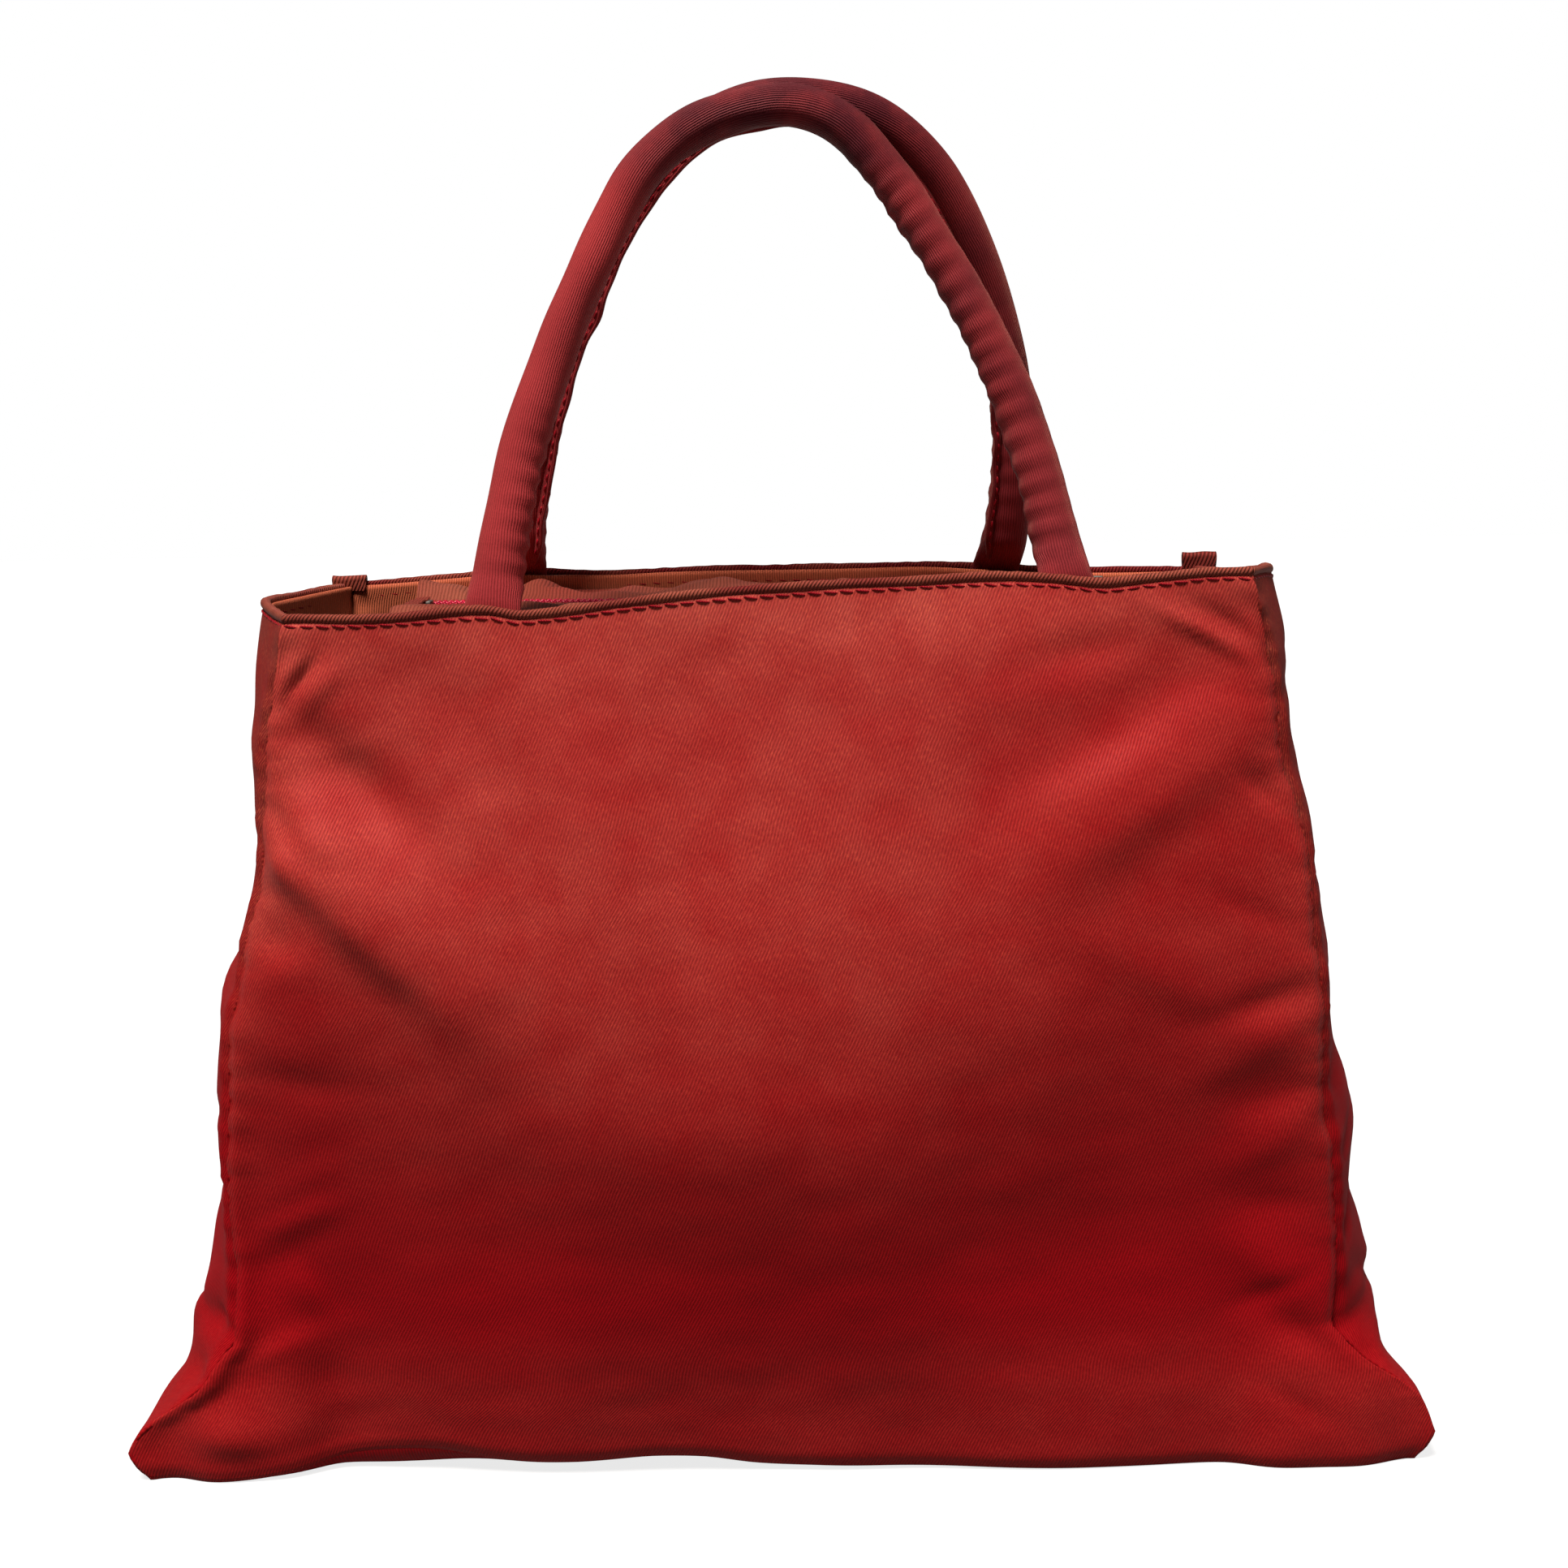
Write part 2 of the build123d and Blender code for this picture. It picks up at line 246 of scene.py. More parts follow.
def slab(
    name: str, outer: Array, thickness: float, uv: Array, fade_and_shading: Array | float = 0.0,
    normals: Array | None = None,
) -> Object:
    """A closed sheet of cloth whose outer face is a grid.

    Args:
        name: Piece name.
        outer: Grid of outer points, rows by columns by 3.
        thickness: Cloth thickness, measured inwards.
        uv: Cloth coordinates of the grid, rows by columns by 2, in metres.
        fade_and_shading: Fading and painted light and shade, rows by columns or one value.
        normals: Outward normals, where they aren't the grid's own.

    Returns:
        The new object.
    """
    rows, cols = outer.shape[:2]
    inner = outer - (grid_normals(outer) if normals is None else normals) * thickness
    index = np.arange(rows * cols).reshape(rows, cols)
    back = index + rows * cols
    faces = [grid_faces(index), grid_faces(back)[:, ::-1]]
    for edge in (np.s_[0, ::-1], np.s_[-1], np.s_[:, 0], np.s_[::-1, -1]):
        near, far = index[edge], back[edge]
        faces.append(np.stack([near[:-1], near[1:], far[1:], far[:-1]], -1))
    faces = np.concatenate(faces)
    corner_uv = np.tile(uv.reshape(-1, 2), (2, 1))[faces.ravel()]
    tone = np.tile(np.broadcast_to(fade_and_shading, (rows, cols)).ravel(), 2)
    points = np.concatenate([outer.reshape(-1, 3), inner.reshape(-1, 3)])
    return mesh_object(name, points, faces, corner_uv, tone)


def tube(name: str, rings: Array, around: Array, along: Array, fade_and_shading: Array | None = None) -> Object:
    """A closed tube from rings of points, with its two ends capped.

    Args:
        name: Piece name.
        rings: Rings by points by 3; seen along the path, each ring turns anticlockwise.
        around: Cloth coordinate round the tube, one more value than a ring has points.
        along: Cloth coordinate of each ring along the tube.
        fade_and_shading: Fading and painted light and shade, rings by points.

    Returns:
        The new object.
    """
    rows, cols = rings.shape[:2]
    index = np.arange(rows * cols).reshape(rows, cols)
    index = np.concatenate([index, index[:, :1]], axis=1)
    faces = grid_faces(index)
    u, v = np.meshgrid(around, along)
    uv = np.stack([u, v], -1)
    corner = np.stack([uv[:-1, :-1], uv[:-1, 1:], uv[1:, 1:], uv[1:, :-1]], 2).reshape(-1, 2)
    points = np.concatenate([rings.reshape(-1, 3), [rings[0].mean(0), rings[-1].mean(0)]])
    first, last = rows * cols, rows * cols + 1
    caps = [(index[0, k + 1], index[0, k], first) for k in range(cols)]
    caps += [(index[-1, k], index[-1, k + 1], last) for k in range(cols)]
    corner = np.concatenate([corner, np.zeros((len(caps) * 3, 2))])
    tone = None if fade_and_shading is None else np.concatenate([fade_and_shading.ravel(), fade_and_shading[0, :1], fade_and_shading[-1, :1]])
    return mesh_object(name, points, [*faces, *caps], corner, tone)


def dress(
    obj: Object, material: Material, body: str | None = "bag",
    stands_for: Sequence[str] = (),
) -> None:
    """Give a finished piece its material and body, and hide the CAD nodes that it replaces.

    Args:
        obj: The finished piece.
        material: Its finish.
        body: CAD body it rides on, or None to leave it unattached.
        stands_for: CAD nodes that it replaces.
    """
    obj.data.materials.clear()
    obj.data.materials.append(material)
    if body:
        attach(obj, body)
    if stands_for:
        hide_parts(*stands_for)
    log.info("%s: %d faces", obj.name, len(obj.data.polygons))


def sew(
    obj: Object, material: Material, slot: str, node: str, flat: Pair, held: Held, rests_on: list[str],
    **more: float,
) -> None:
    """Dress a sheet of cloth that is part of the bag.

    Args:
        obj: The finished piece.
        material: Its finish.
        slot: Material slot of the piece; not used.
        node: CAD node that it replaces.
        flat: Its cut size, in metres; not used.
        held: How it is held; not used.
        rests_on: Pieces that it lies on or hangs from; not used.
        more: Anything else about it; not used.
    """
    dress(obj, material, "bag", [node])


Inputs = dict[str | int, object]
Sockets = bpy.types.bpy_prop_collection


class Graph:
    """A node tree being built."""

    def __init__(self, tree: bpy.types.NodeTree) -> None:
        """Start from an empty tree."""
        self.tree = tree
        tree.nodes.clear()

    def feed(self, node: bpy.types.Node, socket: str | int, value: object) -> None:
        """Link or set one input of a node.

        Args:
            node: The node.
            socket: Name or number of the input.
            value: A socket to link or a value to set.
        """
        target = node.inputs[socket]
        if isinstance(value, Socket):
            self.tree.links.new(value, target)
        else:
            target.default_value = value

    def add(self, kind: str, inputs: Inputs | None = None, **settings: object) -> bpy.types.Node:
        """Add a node.

        Args:
            kind: Node type without its ShaderNode prefix.
            inputs: Values or sockets for its inputs, by name or number.
            settings: Node properties.

        Returns:
            The new node.
        """
        node = self.tree.nodes.new(kind if kind.startswith("Node") else f"ShaderNode{kind}")
        for key, value in settings.items():
            setattr(node, key, value)
        for key, value in (inputs or {}).items():
            self.feed(node, key, value)
        return node

    def math(self, operation: str, *values: object) -> Socket:
        """The result of a Math node."""
        return self.add("Math", dict(enumerate(values)), operation=operation).outputs[0]

    def times(self, first: object, second: object) -> Socket:
        """One value times another."""
        return self.math("MULTIPLY", first, second)

    def mix(self, factor: object, first: object, second: object) -> Socket:
        """A colour mixed between two others."""
        return self.add("Mix", {0: factor, 6: first, 7: second}, data_type="RGBA").outputs[2]

    def spread(self, value: object, start: tuple, end: tuple = (0.0, 1.0)) -> Socket:
        """A value mapped and clamped from one range to another."""
        return self.add("MapRange", {0: value, 1: start[0], 2: start[1], 3: end[0], 4: end[1]}).outputs[0]

    def noise(self, vector: object, scale: float, detail: float = 2.0, rough: float = 0.5) -> Socket:
        """The value of a Noise texture."""
        inputs = {"Vector": vector, "Scale": scale, "Detail": detail, "Roughness": rough}
        return self.add("TexNoise", inputs).outputs[0]


class Pattern:
    """A node group with named inputs and outputs, built once."""

    name = ""
    inputs: dict[str, tuple[str, object]] = {}
    outputs: tuple[str, ...] = ()

    def group(self) -> bpy.types.NodeTree:
        """The group, made the first time it is asked for.

        Returns:
            The node group.
        """
        found = bpy.data.node_groups.get(self.name)
        if found:
            return found
        tree = bpy.data.node_groups.new(self.name, "ShaderNodeTree")
        for label, (kind, value) in self.inputs.items():
            socket = tree.interface.new_socket(label, in_out="INPUT", socket_type=f"NodeSocket{kind}")
            if value is not None:
                socket.default_value = value
        for label in self.outputs:
            tree.interface.new_socket(label, in_out="OUTPUT", socket_type="NodeSocketFloat")
        graph = Graph(tree)
        graph.add("NodeGroupOutput", self.build(graph, graph.add("NodeGroupInput").outputs))
        return tree

    def build(self, graph: Graph, source: Sockets) -> Inputs:
        """Make the nodes and return what feeds each output.

        Args:
            graph: The group's node tree.
            source: The group's inputs.

        Returns:
            The value of each output.
        """
        raise NotImplementedError

    def place(self, graph: Graph, inputs: Inputs) -> Sockets:
        """Place the group in a material and return the group's outputs."""
        return graph.add("Group", inputs, node_tree=self.group()).outputs


class Twill(Pattern):
    """Steep diagonal twill lines with slubs, and a grain whose brightest specks the cloth turns into painted
    glints.
    """

    name = "twill"
    inputs = {"Vector": ("Vector", None), "Pitch": ("Float", 0.0009)}
    outputs = ("Height", "Grain")
    slope = math.radians(67)

    def build(self, graph: Graph, source: Sockets) -> Inputs:
        """Lines across the slope, broken into floats along it.

        Args:
            graph: The group's node tree.
            source: The group's inputs.

        Returns:
            The value of each output.
        """
        cloth = graph.add("SeparateXYZ", {0: source["Vector"]}).outputs
        c, s = math.cos(self.slope), math.sin(self.slope)
        across = graph.math("SUBTRACT", graph.times(cloth[0], s), graph.times(cloth[1], c))
        along = graph.math("ADD", graph.times(cloth[0], c), graph.times(cloth[1], s))
        wander = graph.noise(source["Vector"], 90.0, 2.0)
        turns = graph.math("ADD", graph.math("DIVIDE", across, source["Pitch"]), graph.times(wander, 0.8))
        line = graph.math("MULTIPLY_ADD", graph.math("SINE", graph.times(turns, math.tau)), 0.5, 0.5)
        stretched = graph.add("CombineXYZ", {0: across, 1: graph.times(along, 0.3)}).outputs[0]
        grain = graph.noise(stretched, 2300.0, 2.0, 0.6)
        height = graph.math("MULTIPLY_ADD", graph.math("SUBTRACT", grain, 0.5), 0.5, line)
        return {"Height": height, "Grain": grain}


class Ribs(Pattern):
    """Fine ribs across one coordinate of the cloth."""

    name = "ribs"
    inputs = {"Vector": ("Vector", None)} | {
        name: ("Float", value) for name, value in (("Across", 1.0), ("Along", 0.0), ("Pitch", 0.001))
    }
    outputs = ("Height", "Grain")

    def build(self, graph: Graph, source: Sockets) -> Inputs:
        """Rounded ribs that wander and vary a little.

        Args:
            graph: The group's node tree.
            source: The group's inputs.

        Returns:
            The value of each output.
        """
        cloth = graph.add("SeparateXYZ", {0: source["Vector"]}).outputs
        across, along = graph.times(cloth[0], source["Across"]), graph.times(cloth[1], source["Along"])
        place = graph.math("ADD", across, along)
        wander = graph.noise(source["Vector"], 120.0, 2.0)
        turns = graph.math("ADD", graph.math("DIVIDE", place, source["Pitch"]), wander)
        rib = graph.math("ABSOLUTE", graph.math("SINE", graph.times(turns, math.pi)))
        grain = graph.noise(source["Vector"], 1300.0, 2.0, 0.6)
        return {"Height": rib, "Grain": grain}


class Weave(Pattern):
    """Plain weave: two sets of yarns over and under each other."""

    name = "plain weave"
    inputs = {"Vector": ("Vector", None), "Pitch": ("Float", 0.0006)}
    outputs = ("Height", "Grain")

    def build(self, graph: Graph, source: Sockets) -> Inputs:
        """The product of the two yarns' waves.

        Args:
            graph: The group's node tree.
            source: The group's inputs.

        Returns:
            The value of each output.
        """
        cloth = graph.add("SeparateXYZ", {0: source["Vector"]}).outputs
        turns = [graph.math("DIVIDE", cloth[axis], source["Pitch"]) for axis in (0, 1)]
        waves = [graph.math("SINE", graph.times(turn, math.pi)) for turn in turns]
        weave = graph.math("MULTIPLY_ADD", graph.times(*waves), 0.5, 0.5)
        grain = graph.noise(source["Vector"], 900.0, 2.0, 0.6)
        return {"Height": weave, "Grain": grain}


class WearAndShading(Pattern):
    """Clouds of fading with painted light and shade, and small creases over a whole piece."""

    name = "wear_and_shading"
    inputs = {"Vector": ("Vector", None), "Fade": ("Float", 0.0)}
    outputs = ("FadedAndShaded", "Cloud", "Crease")

    def build(self, graph: Graph, source: Sockets) -> Inputs:
        """Fading and painted light and shade broken up by noise, wide clouds and fine creases.

        Args:
            graph: The group's node tree.
            source: The group's inputs.

        Returns:
            The value of each output.
        """
        cloud = graph.noise(source["Vector"], 14.0, 3.0, 0.55)
        broken = graph.noise(source["Vector"], 60.0, 4.0, 0.6)
        faded_and_shaded = graph.times(source["Fade"], graph.spread(broken, (0.3, 0.7), (0.6, 1.3)))
        crease = graph.noise(source["Vector"], 260.0, 3.0, 0.6)
        clamped = graph.math("MINIMUM", graph.math("MAXIMUM", faded_and_shaded, 0.0), 1.0)
        return {"FadedAndShaded": clamped, "Cloud": graph.spread(cloud, (0.3, 0.7)), "Crease": crease}


def rgba(colour: Colour) -> tuple[float, float, float, float]:
    """A colour with full alpha."""
    return (*colour, 1.0)


@dataclass(frozen=True)
class Cloth:
    """A cloth finish."""

    name: str
    colour: Colour
    deep: Colour
    faded_and_shaded: Colour
    pattern: Pattern
    pitch: float
    pattern_settings: dict[str, float] = field(default_factory=dict)
    hollow_shade: float = 0.3
    grain: float = 0.2
    relief: float = 0.00006
    crease: float = 0.00004
    rough: float = 0.52
    gloss: float = 0.3
    gloss_tint: Colour = (1.0, 0.20, 0.20)
    sheen: float = 0.02
    sheen_tint: Colour = (1.0, 0.4, 0.3)
    painted_glint: float = 0.0
    painted_glint_tint: Colour = (0.80, 0.17, 0.06)

    def material(self) -> Material:
        """Build the material.

        Returns:
            The new material.
        """
        made = bpy.data.materials.new(self.name)
        made.use_nodes = True
        graph = Graph(made.node_tree)
        cloth = graph.add("UVMap", uv_map="cloth").outputs[0]
        place = graph.add("TexCoord").outputs["Object"]
        fade_and_shading = graph.add("Attribute", attribute_name="fade_and_shading").outputs["Fac"]
        lines = self.pattern.place(graph, {"Vector": cloth, "Pitch": self.pitch, **self.pattern_settings})
        wear_and_shading = WearAndShading().place(graph, {"Vector": place, "Fade": fade_and_shading})
        base = graph.mix(graph.times(wear_and_shading["Cloud"], 0.35), rgba(self.colour), rgba(self.deep))
        # the level mixes in the colour of fading and painted shading: real fading near the rim, painted light
        # on the upper walls and painted shade elsewhere, as Shell sets it
        base = graph.mix(wear_and_shading["FadedAndShaded"], base, rgba(self.faded_and_shaded))
        # painted glints: where the fading level is high, the grain's brightest specks turn towards an orange
        # tint, standing for the satin's glints of light
        painted_glints = graph.times(graph.spread(lines["Grain"], (0.5, 0.72), (0.0, self.painted_glint)), wear_and_shading["FadedAndShaded"])
        base = graph.mix(painted_glints, base, rgba(self.painted_glint_tint))
        # painted shade: the base colour darkens in the pattern's hollows, where its height is low
        dark = graph.times(graph.math("SUBTRACT", 1.0, lines["Height"]), self.hollow_shade)
        shade = graph.math("SUBTRACT", 1.0, dark)
        grain = graph.math("SUBTRACT", lines["Grain"], 0.5)
        lively = graph.math("MULTIPLY_ADD", grain, 2 * self.grain, shade)
        toned = graph.add("VectorMath", {0: base, "Scale": lively}, operation="SCALE").outputs[0]
        bump_inputs = {"Strength": 1.0, "Distance": self.relief, "Height": lines["Height"]}
        relief = graph.add("Bump", bump_inputs).outputs[0]
        bump_inputs = {"Strength": 1.0, "Distance": self.crease, "Height": wear_and_shading["Crease"], "Normal": relief}
        crease = graph.add("Bump", bump_inputs)
        rough = graph.spread(wear_and_shading["Cloud"], (0.0, 1.0), (self.rough - 0.05, self.rough + 0.07))
        shader = graph.add("BsdfPrincipled", {
            "Base Color": toned, "Roughness": rough, "Normal": crease.outputs[0],
            "Specular IOR Level": self.gloss, "Specular Tint": rgba(self.gloss_tint),
            "Sheen Weight": self.sheen, "Sheen Roughness": 0.35, "Sheen Tint": rgba(self.sheen_tint),
        })
        graph.add("OutputMaterial", {0: shader.outputs[0]})
        return made


@dataclass(frozen=True)
class Hard:
    """A metal or plastic finish with handling marks."""

    name: str
    colour: Colour
    metal: float = 0.0
    rough: float = 0.35
    mark_scale: float = 400.0
    relief: float = 0.00002

    def material(self) -> Material:
        """Build the material.

        Returns:
            The new material.
        """
        made = bpy.data.materials.new(self.name)
        made.use_nodes = True
        graph = Graph(made.node_tree)
        place = graph.add("TexCoord").outputs["Object"]
        marks = graph.noise(place, self.mark_scale, 4.0, 0.65)
        wide = graph.noise(place, self.mark_scale / 6, 2.0)
        dull = tuple(0.7 * c for c in self.colour)
        colour = graph.mix(graph.spread(wide, (0.35, 0.65)), rgba(self.colour), rgba(dull))
        bump = graph.add("Bump", {"Strength": 1.0, "Distance": self.relief, "Height": marks})
        rough = graph.spread(marks, (0.3, 0.7), (self.rough - 0.08, self.rough + 0.12))
        shader = graph.add("BsdfPrincipled", {
            "Base Color": colour, "Metallic": self.metal, "Roughness": rough, "Normal": bump.outputs[0],
        })
        graph.add("OutputMaterial", {0: shader.outputs[0]})
        return made


class Finishes:
    """Every finish of the bag, built once."""

    def __init__(self) -> None:
        """Build the materials."""
        red: Colour = (0.29, 0.0018, 0.005)
        deep: Colour = (0.24, 0.0012, 0.005)
        # lighter brown of the satin: fading near the rim, and painted light on the upper long walls
        brown: Colour = (0.42, 0.056, 0.043)
        # darker brown of the gussets: fading, and painted shade on their upper parts
        worn_and_shaded: Colour = (0.19, 0.024, 0.019)
        lively = {"hollow_shade": 0.40, "painted_glint": 0.22}
        dull = {"rough": 0.66, "gloss": 0.10, "sheen": 0.0}
        self.satin = Cloth("satin", red, deep, brown, Twill(), 0.0009, gloss=0.22, **lively).material()
        self.side = Cloth("side satin", red, deep, worn_and_shaded, Twill(), 0.0009, **lively, **dull).material()
        # rim satin: the dark red stands for painted shade on the rear rim, the lighter brown for fading on
        # the other rims
        self.rim = Cloth(
            "rim satin", (0.13, 0.009, 0.010), (0.09, 0.006, 0.007), (0.25, 0.058, 0.035), Ribs(), 0.0011,
            {"Across": 0.35, "Along": 1.0}, hollow_shade=0.6, relief=0.00034, sheen=0.05,
        ).material()
        self.facing = Cloth(
            "facing satin", (0.46, 0.110, 0.052), (0.38, 0.070, 0.038), (0.46, 0.14, 0.07), Ribs(), 0.0008,
            hollow_shade=0.35, relief=0.0002,
        ).material()
        # painted shade: a darker copy of the facing satin, for the zip strips that lie flat under the light
        self.strip = Cloth(
            "zip strip satin", (0.17, 0.028, 0.018), (0.12, 0.015, 0.011), (0.22, 0.055, 0.032), Ribs(),
            0.0011, hollow_shade=0.35, relief=0.0002,
        ).material()
        # handle satin: the last of its three colours is near-black, for handling dirt and painted shade on
        # the handles
        self.handle = Cloth(
            "handle satin", (0.34, 0.032, 0.034), (0.27, 0.022, 0.025), (0.068, 0.008, 0.013), Ribs(), 0.0007,
            {"Across": 1.0, "Along": 0.05}, hollow_shade=0.35, relief=0.00018, sheen=0.1,
        ).material()
        self.lining = Cloth(
            "lining cloth", (0.16, 0.012, 0.014), (0.12, 0.008, 0.010), (0.2, 0.03, 0.02), Weave(), 0.0006,
            relief=0.00008,
        ).material()
        self.stiffener = Cloth(
            "stiffener felt", (0.16, 0.026, 0.022), (0.12, 0.018, 0.016), (0.16, 0.026, 0.022), Weave(),
            0.0012, rough=0.8, gloss=0.05, crease=0.0001,
        ).material()
        self.tape = Cloth(
            "zip tape", (0.33, 0.012, 0.03), (0.25, 0.008, 0.02), (0.33, 0.03, 0.03), Weave(), 0.0008,
            hollow_shade=0.4, relief=0.00015,
        ).material()
        self.thread = Cloth(
            "seam thread", (0.27, 0.006, 0.013), (0.20, 0.004, 0.009), (0.3, 0.03, 0.03), Ribs(), 0.0005,
            {"Across": 0.7, "Along": 0.7}, hollow_shade=0.5, relief=0.0001, gloss=0.3, rough=0.45,
        ).material()
        self.cord = Cloth(
            "filler cord", (0.62, 0.58, 0.5), (0.5, 0.47, 0.4), (0.62, 0.58, 0.5), Ribs(), 0.0025,
            {"Across": 0.6, "Along": 0.8}, rough=0.8, gloss=0.05, sheen=0.1, sheen_tint=(1, 1, 1),
            relief=0.0004,
        ).material()
        self.coil = Hard("zip coil", (0.50, 0.012, 0.045), rough=0.35).material()
        self.metal = Hard("zip metal", (0.20, 0.18, 0.16), metal=1.0, rough=0.6).material()


@dataclass(frozen=True)
class Fold:
    """One soft fold in a wall: a hump, or a hollow where its rise is negative. Millimetres and degrees.

    A skirt is the width of the side above the crest, where it runs out more slowly than the side below.
    """

    at: float
    height: float
    angle: float
    reach: float
    width: float
    rise: float
    skirt: float = 0.0

    def lift(self, a: Array, z: Array) -> Array:
        """How far the fold moves the cloth outwards.

        Args:
            a: Places across the wall, in metres.
            z: Cut heights, in metres.

        Returns:
            The moves, in metres.
        """
        c, s = math.cos(math.radians(self.angle)), math.sin(math.radians(self.angle))
        da, dz = a / MM - self.at, z / MM - self.height
        along = (da * c + dz * s) / self.reach
        across = dz * c - da * s
        across = across / np.where(across > 0, self.skirt or self.width, self.width)
        return self.rise * MM * np.exp(-along * along - across * across)


FRONT_FOLDS = (
    # the crease under the left rim corner, between its two lips
    Fold(-136, 250, 52, 8, 2, -2.4),
    Fold(-140, 254, 52, 9, 3, 1.2),
    Fold(-131, 246, 48, 10, 3.5, 1.3),
    # the pinch and the small hump beside the left seam
    Fold(-144, 207, -40, 9, 3, -1.6),
    Fold(-143, 196, -20, 8, 5, 1.8),
    Fold(-122, 220, -44, 28, 8, -3.6),
    Fold(-128, 198, -54, 22, 8, 3),
    Fold(-168, 15, -12, 14, 7, 2.8, 9),
    # the long hump that runs down from the left seam, steep underneath
    Fold(-142, 193, -36, 15, 6.5, 4, 16),
    Fold(-120, 177, -42, 26, 7.4, 6.4, 26),
    Fold(-94, 153, -44, 20, 11, 2.2, 24),
    Fold(-148, 0, 0, 38, 74, -6.4),
    Fold(-132, 170, -32, 30, 34, 4, 18),
    Fold(-146, 172, -30, 9, 5, -1.6),
    # the small ridges low on the left
    Fold(-145, 84, 22, 15, 8, 1.2, 3.5),
    Fold(-143, 60, -58, 10, 7, 1, 3.5),
    Fold(-146, 44, 16, 11, 8, 1.1, 4),
    # the shoulder of the belly
    Fold(-10, 112, -3, 70, 17, 1.2),
    Fold(60, 70, 8, 60, 16, -0.8),
    Fold(-40, 74, -6, 50, 14, -0.7),
    # the hollow and the ridge of the upper right
    Fold(101, 227, 25, 40, 9, -3, 15),
    Fold(106, 205, 30, 42, 10, 3.4, 22),
    Fold(88, 247, 18, 18, 6, -1.5),
    Fold(124, 258, -31, 24, 2.2, -2.2),
    Fold(121, 252.5, -31, 22, 2, 2.2),
    Fold(143, 206, -34, 11, 2.4, -1.6, 6),
    Fold(112, 158, -28, 30, 8, 1.6, 16),
    Fold(148, 148, 10, 15, 5, -1.5),
    Fold(140, 134, 24, 20, 6, 1.3, 10),
    Fold(150, 118, 12, 15, 5, -1.4),
    Fold(146, 104, 30, 16, 6, 1.2, 9),
    Fold(148, 64, -34, 20, 6, 1.6, 9),
    Fold(156, 44, -34, 12, 5, -1.4),
    # soft clouds of the middle
    Fold(-60, 215, -70, 45, 16, 1),
    Fold(-25, 200, -75, 45, 14, -0.8),
    Fold(30, 215, 80, 40, 18, 0.8),
    Fold(65, 190, 60, 40, 14, -0.7),
    Fold(-88, 232, -60, 22, 8, -0.8),
)


# how far the side seams wander outwards, left and right, over their height
SEAM_SHIFT: dict[int, Curve] = {
    -1: [
        (0, 2), (8, 3.2), (16, 4), (24, -0.4), (30, -3.6), (40, -2), (51, -1.9), (66, -1.9), (84, 0),
        (104, 0.7), (121, 0.3), (147, 0.6), (156, -1.1), (171, -1.6), (188, -4.2), (200, -2.6), (217, -1.2),
        (231, 0.8), (268, 0),
    ],
    1: [
        (0, 0.4), (10, 1.8), (22, 5), (35, -1.6), (47, -1.2), (62, 1), (83, 1), (101, 0.8), (112, -1),
        (128, -0.4), (151, 1.3), (164, 0.6), (180, 1.8), (197, 1.8), (213, -0.9), (231, 0.5), (250, 0),
        (268, -1.8),
    ],
}
# how far the middles of the gussets stand out past their cut bow
GUSSET_SHIFT: dict[int, Curve] = {
    -1: [
        (0, 3), (16, 0), (34, 2.4), (43, 4.3), (58, 2.6), (77, -2), (88, -3.8), (106, -2.9), (118, -1.2),
        (136, -1.6), (151, -4.2), (160, -6.6), (174, -8.4), (188, -8.4), (198, -8), (205, -5.8),
        (214, -3.9), (223, -1.8), (238, -1.7), (252, -0.4), (268, 0),
    ],
    1: [
        (0, 0), (12, -1.4), (27, -1.4), (41, 7), (49, 9), (56, 6.5), (63, 4.2), (71, 1.5), (82, 1),
        (97, 2.4), (112, 1.4), (124, -2), (144, -3), (152, -1.9), (170, -4.4), (186, -5.8), (198, -5.2),
        (209, -5.2), (216, -5.1), (226, -3.2), (242, -2), (268, -2.2),
    ],
}
# how far a long wall's middle stands out over its height: a steep overhang up to a ridge, then a slope back
SWELLING: Curve = [
    (0, 0.6), (20, 3.8), (50, 9.8), (80, 14.4), (100, 16.2), (118, 16.8), (136, 16.2), (165, 13.8),
    (200, 10), (240, 4.5), (264, 1),
]
# how far the rim stands above its cut height, along the bag
RIM_LIFT: dict[Side, Curve] = {
    Side.FRONT: [
        (-145, -2.9), (-118, -3.1), (-104, -2.6), (-92, -1.7), (-81, -1.6), (-73, -2.9), (-65, -2.4),
        (-40, 0.6), (-5, 3.3), (26, 4.7), (84, 4.9), (96, 3.5), (110, 4.6), (126, 6.2), (145, 6),
    ],
    Side.REAR: [
        (-150, -1.2), (-132, -0.5), (-118, 0.3), (-102, 1.4), (-84, 2.7), (-73, 2.2), (-55, 1.4),
        (-35, 2), (20, 2.1), (55, 2.2), (71, 1.4), (85, 0.2), (108, -0.6), (150, -0.4),
    ],
}
# how far the bottom edge stands above the floor, along the bag
FLOOR_LIFT: dict[Side, Curve] = {
    Side.FRONT: [
        (-205, 0.2), (-175, 0.2), (-160, 0.9), (-145, 3), (-128, 6.4), (-106, 7.6), (-88, 4.6),
        (-66, 3.8), (-38, 5.2), (-24, 4.8), (-10, 2.6), (10, 1.6), (60, 0.6), (85, 0.2), (110, 0.2),
        (135, 0), (160, 0), (205, 0.2),
    ],
    Side.REAR: [(-205, 0.4), (-110, 2.5), (-60, 0.6), (0, 3.2), (55, 0.6), (120, 2.4), (205, 0.5)],
}


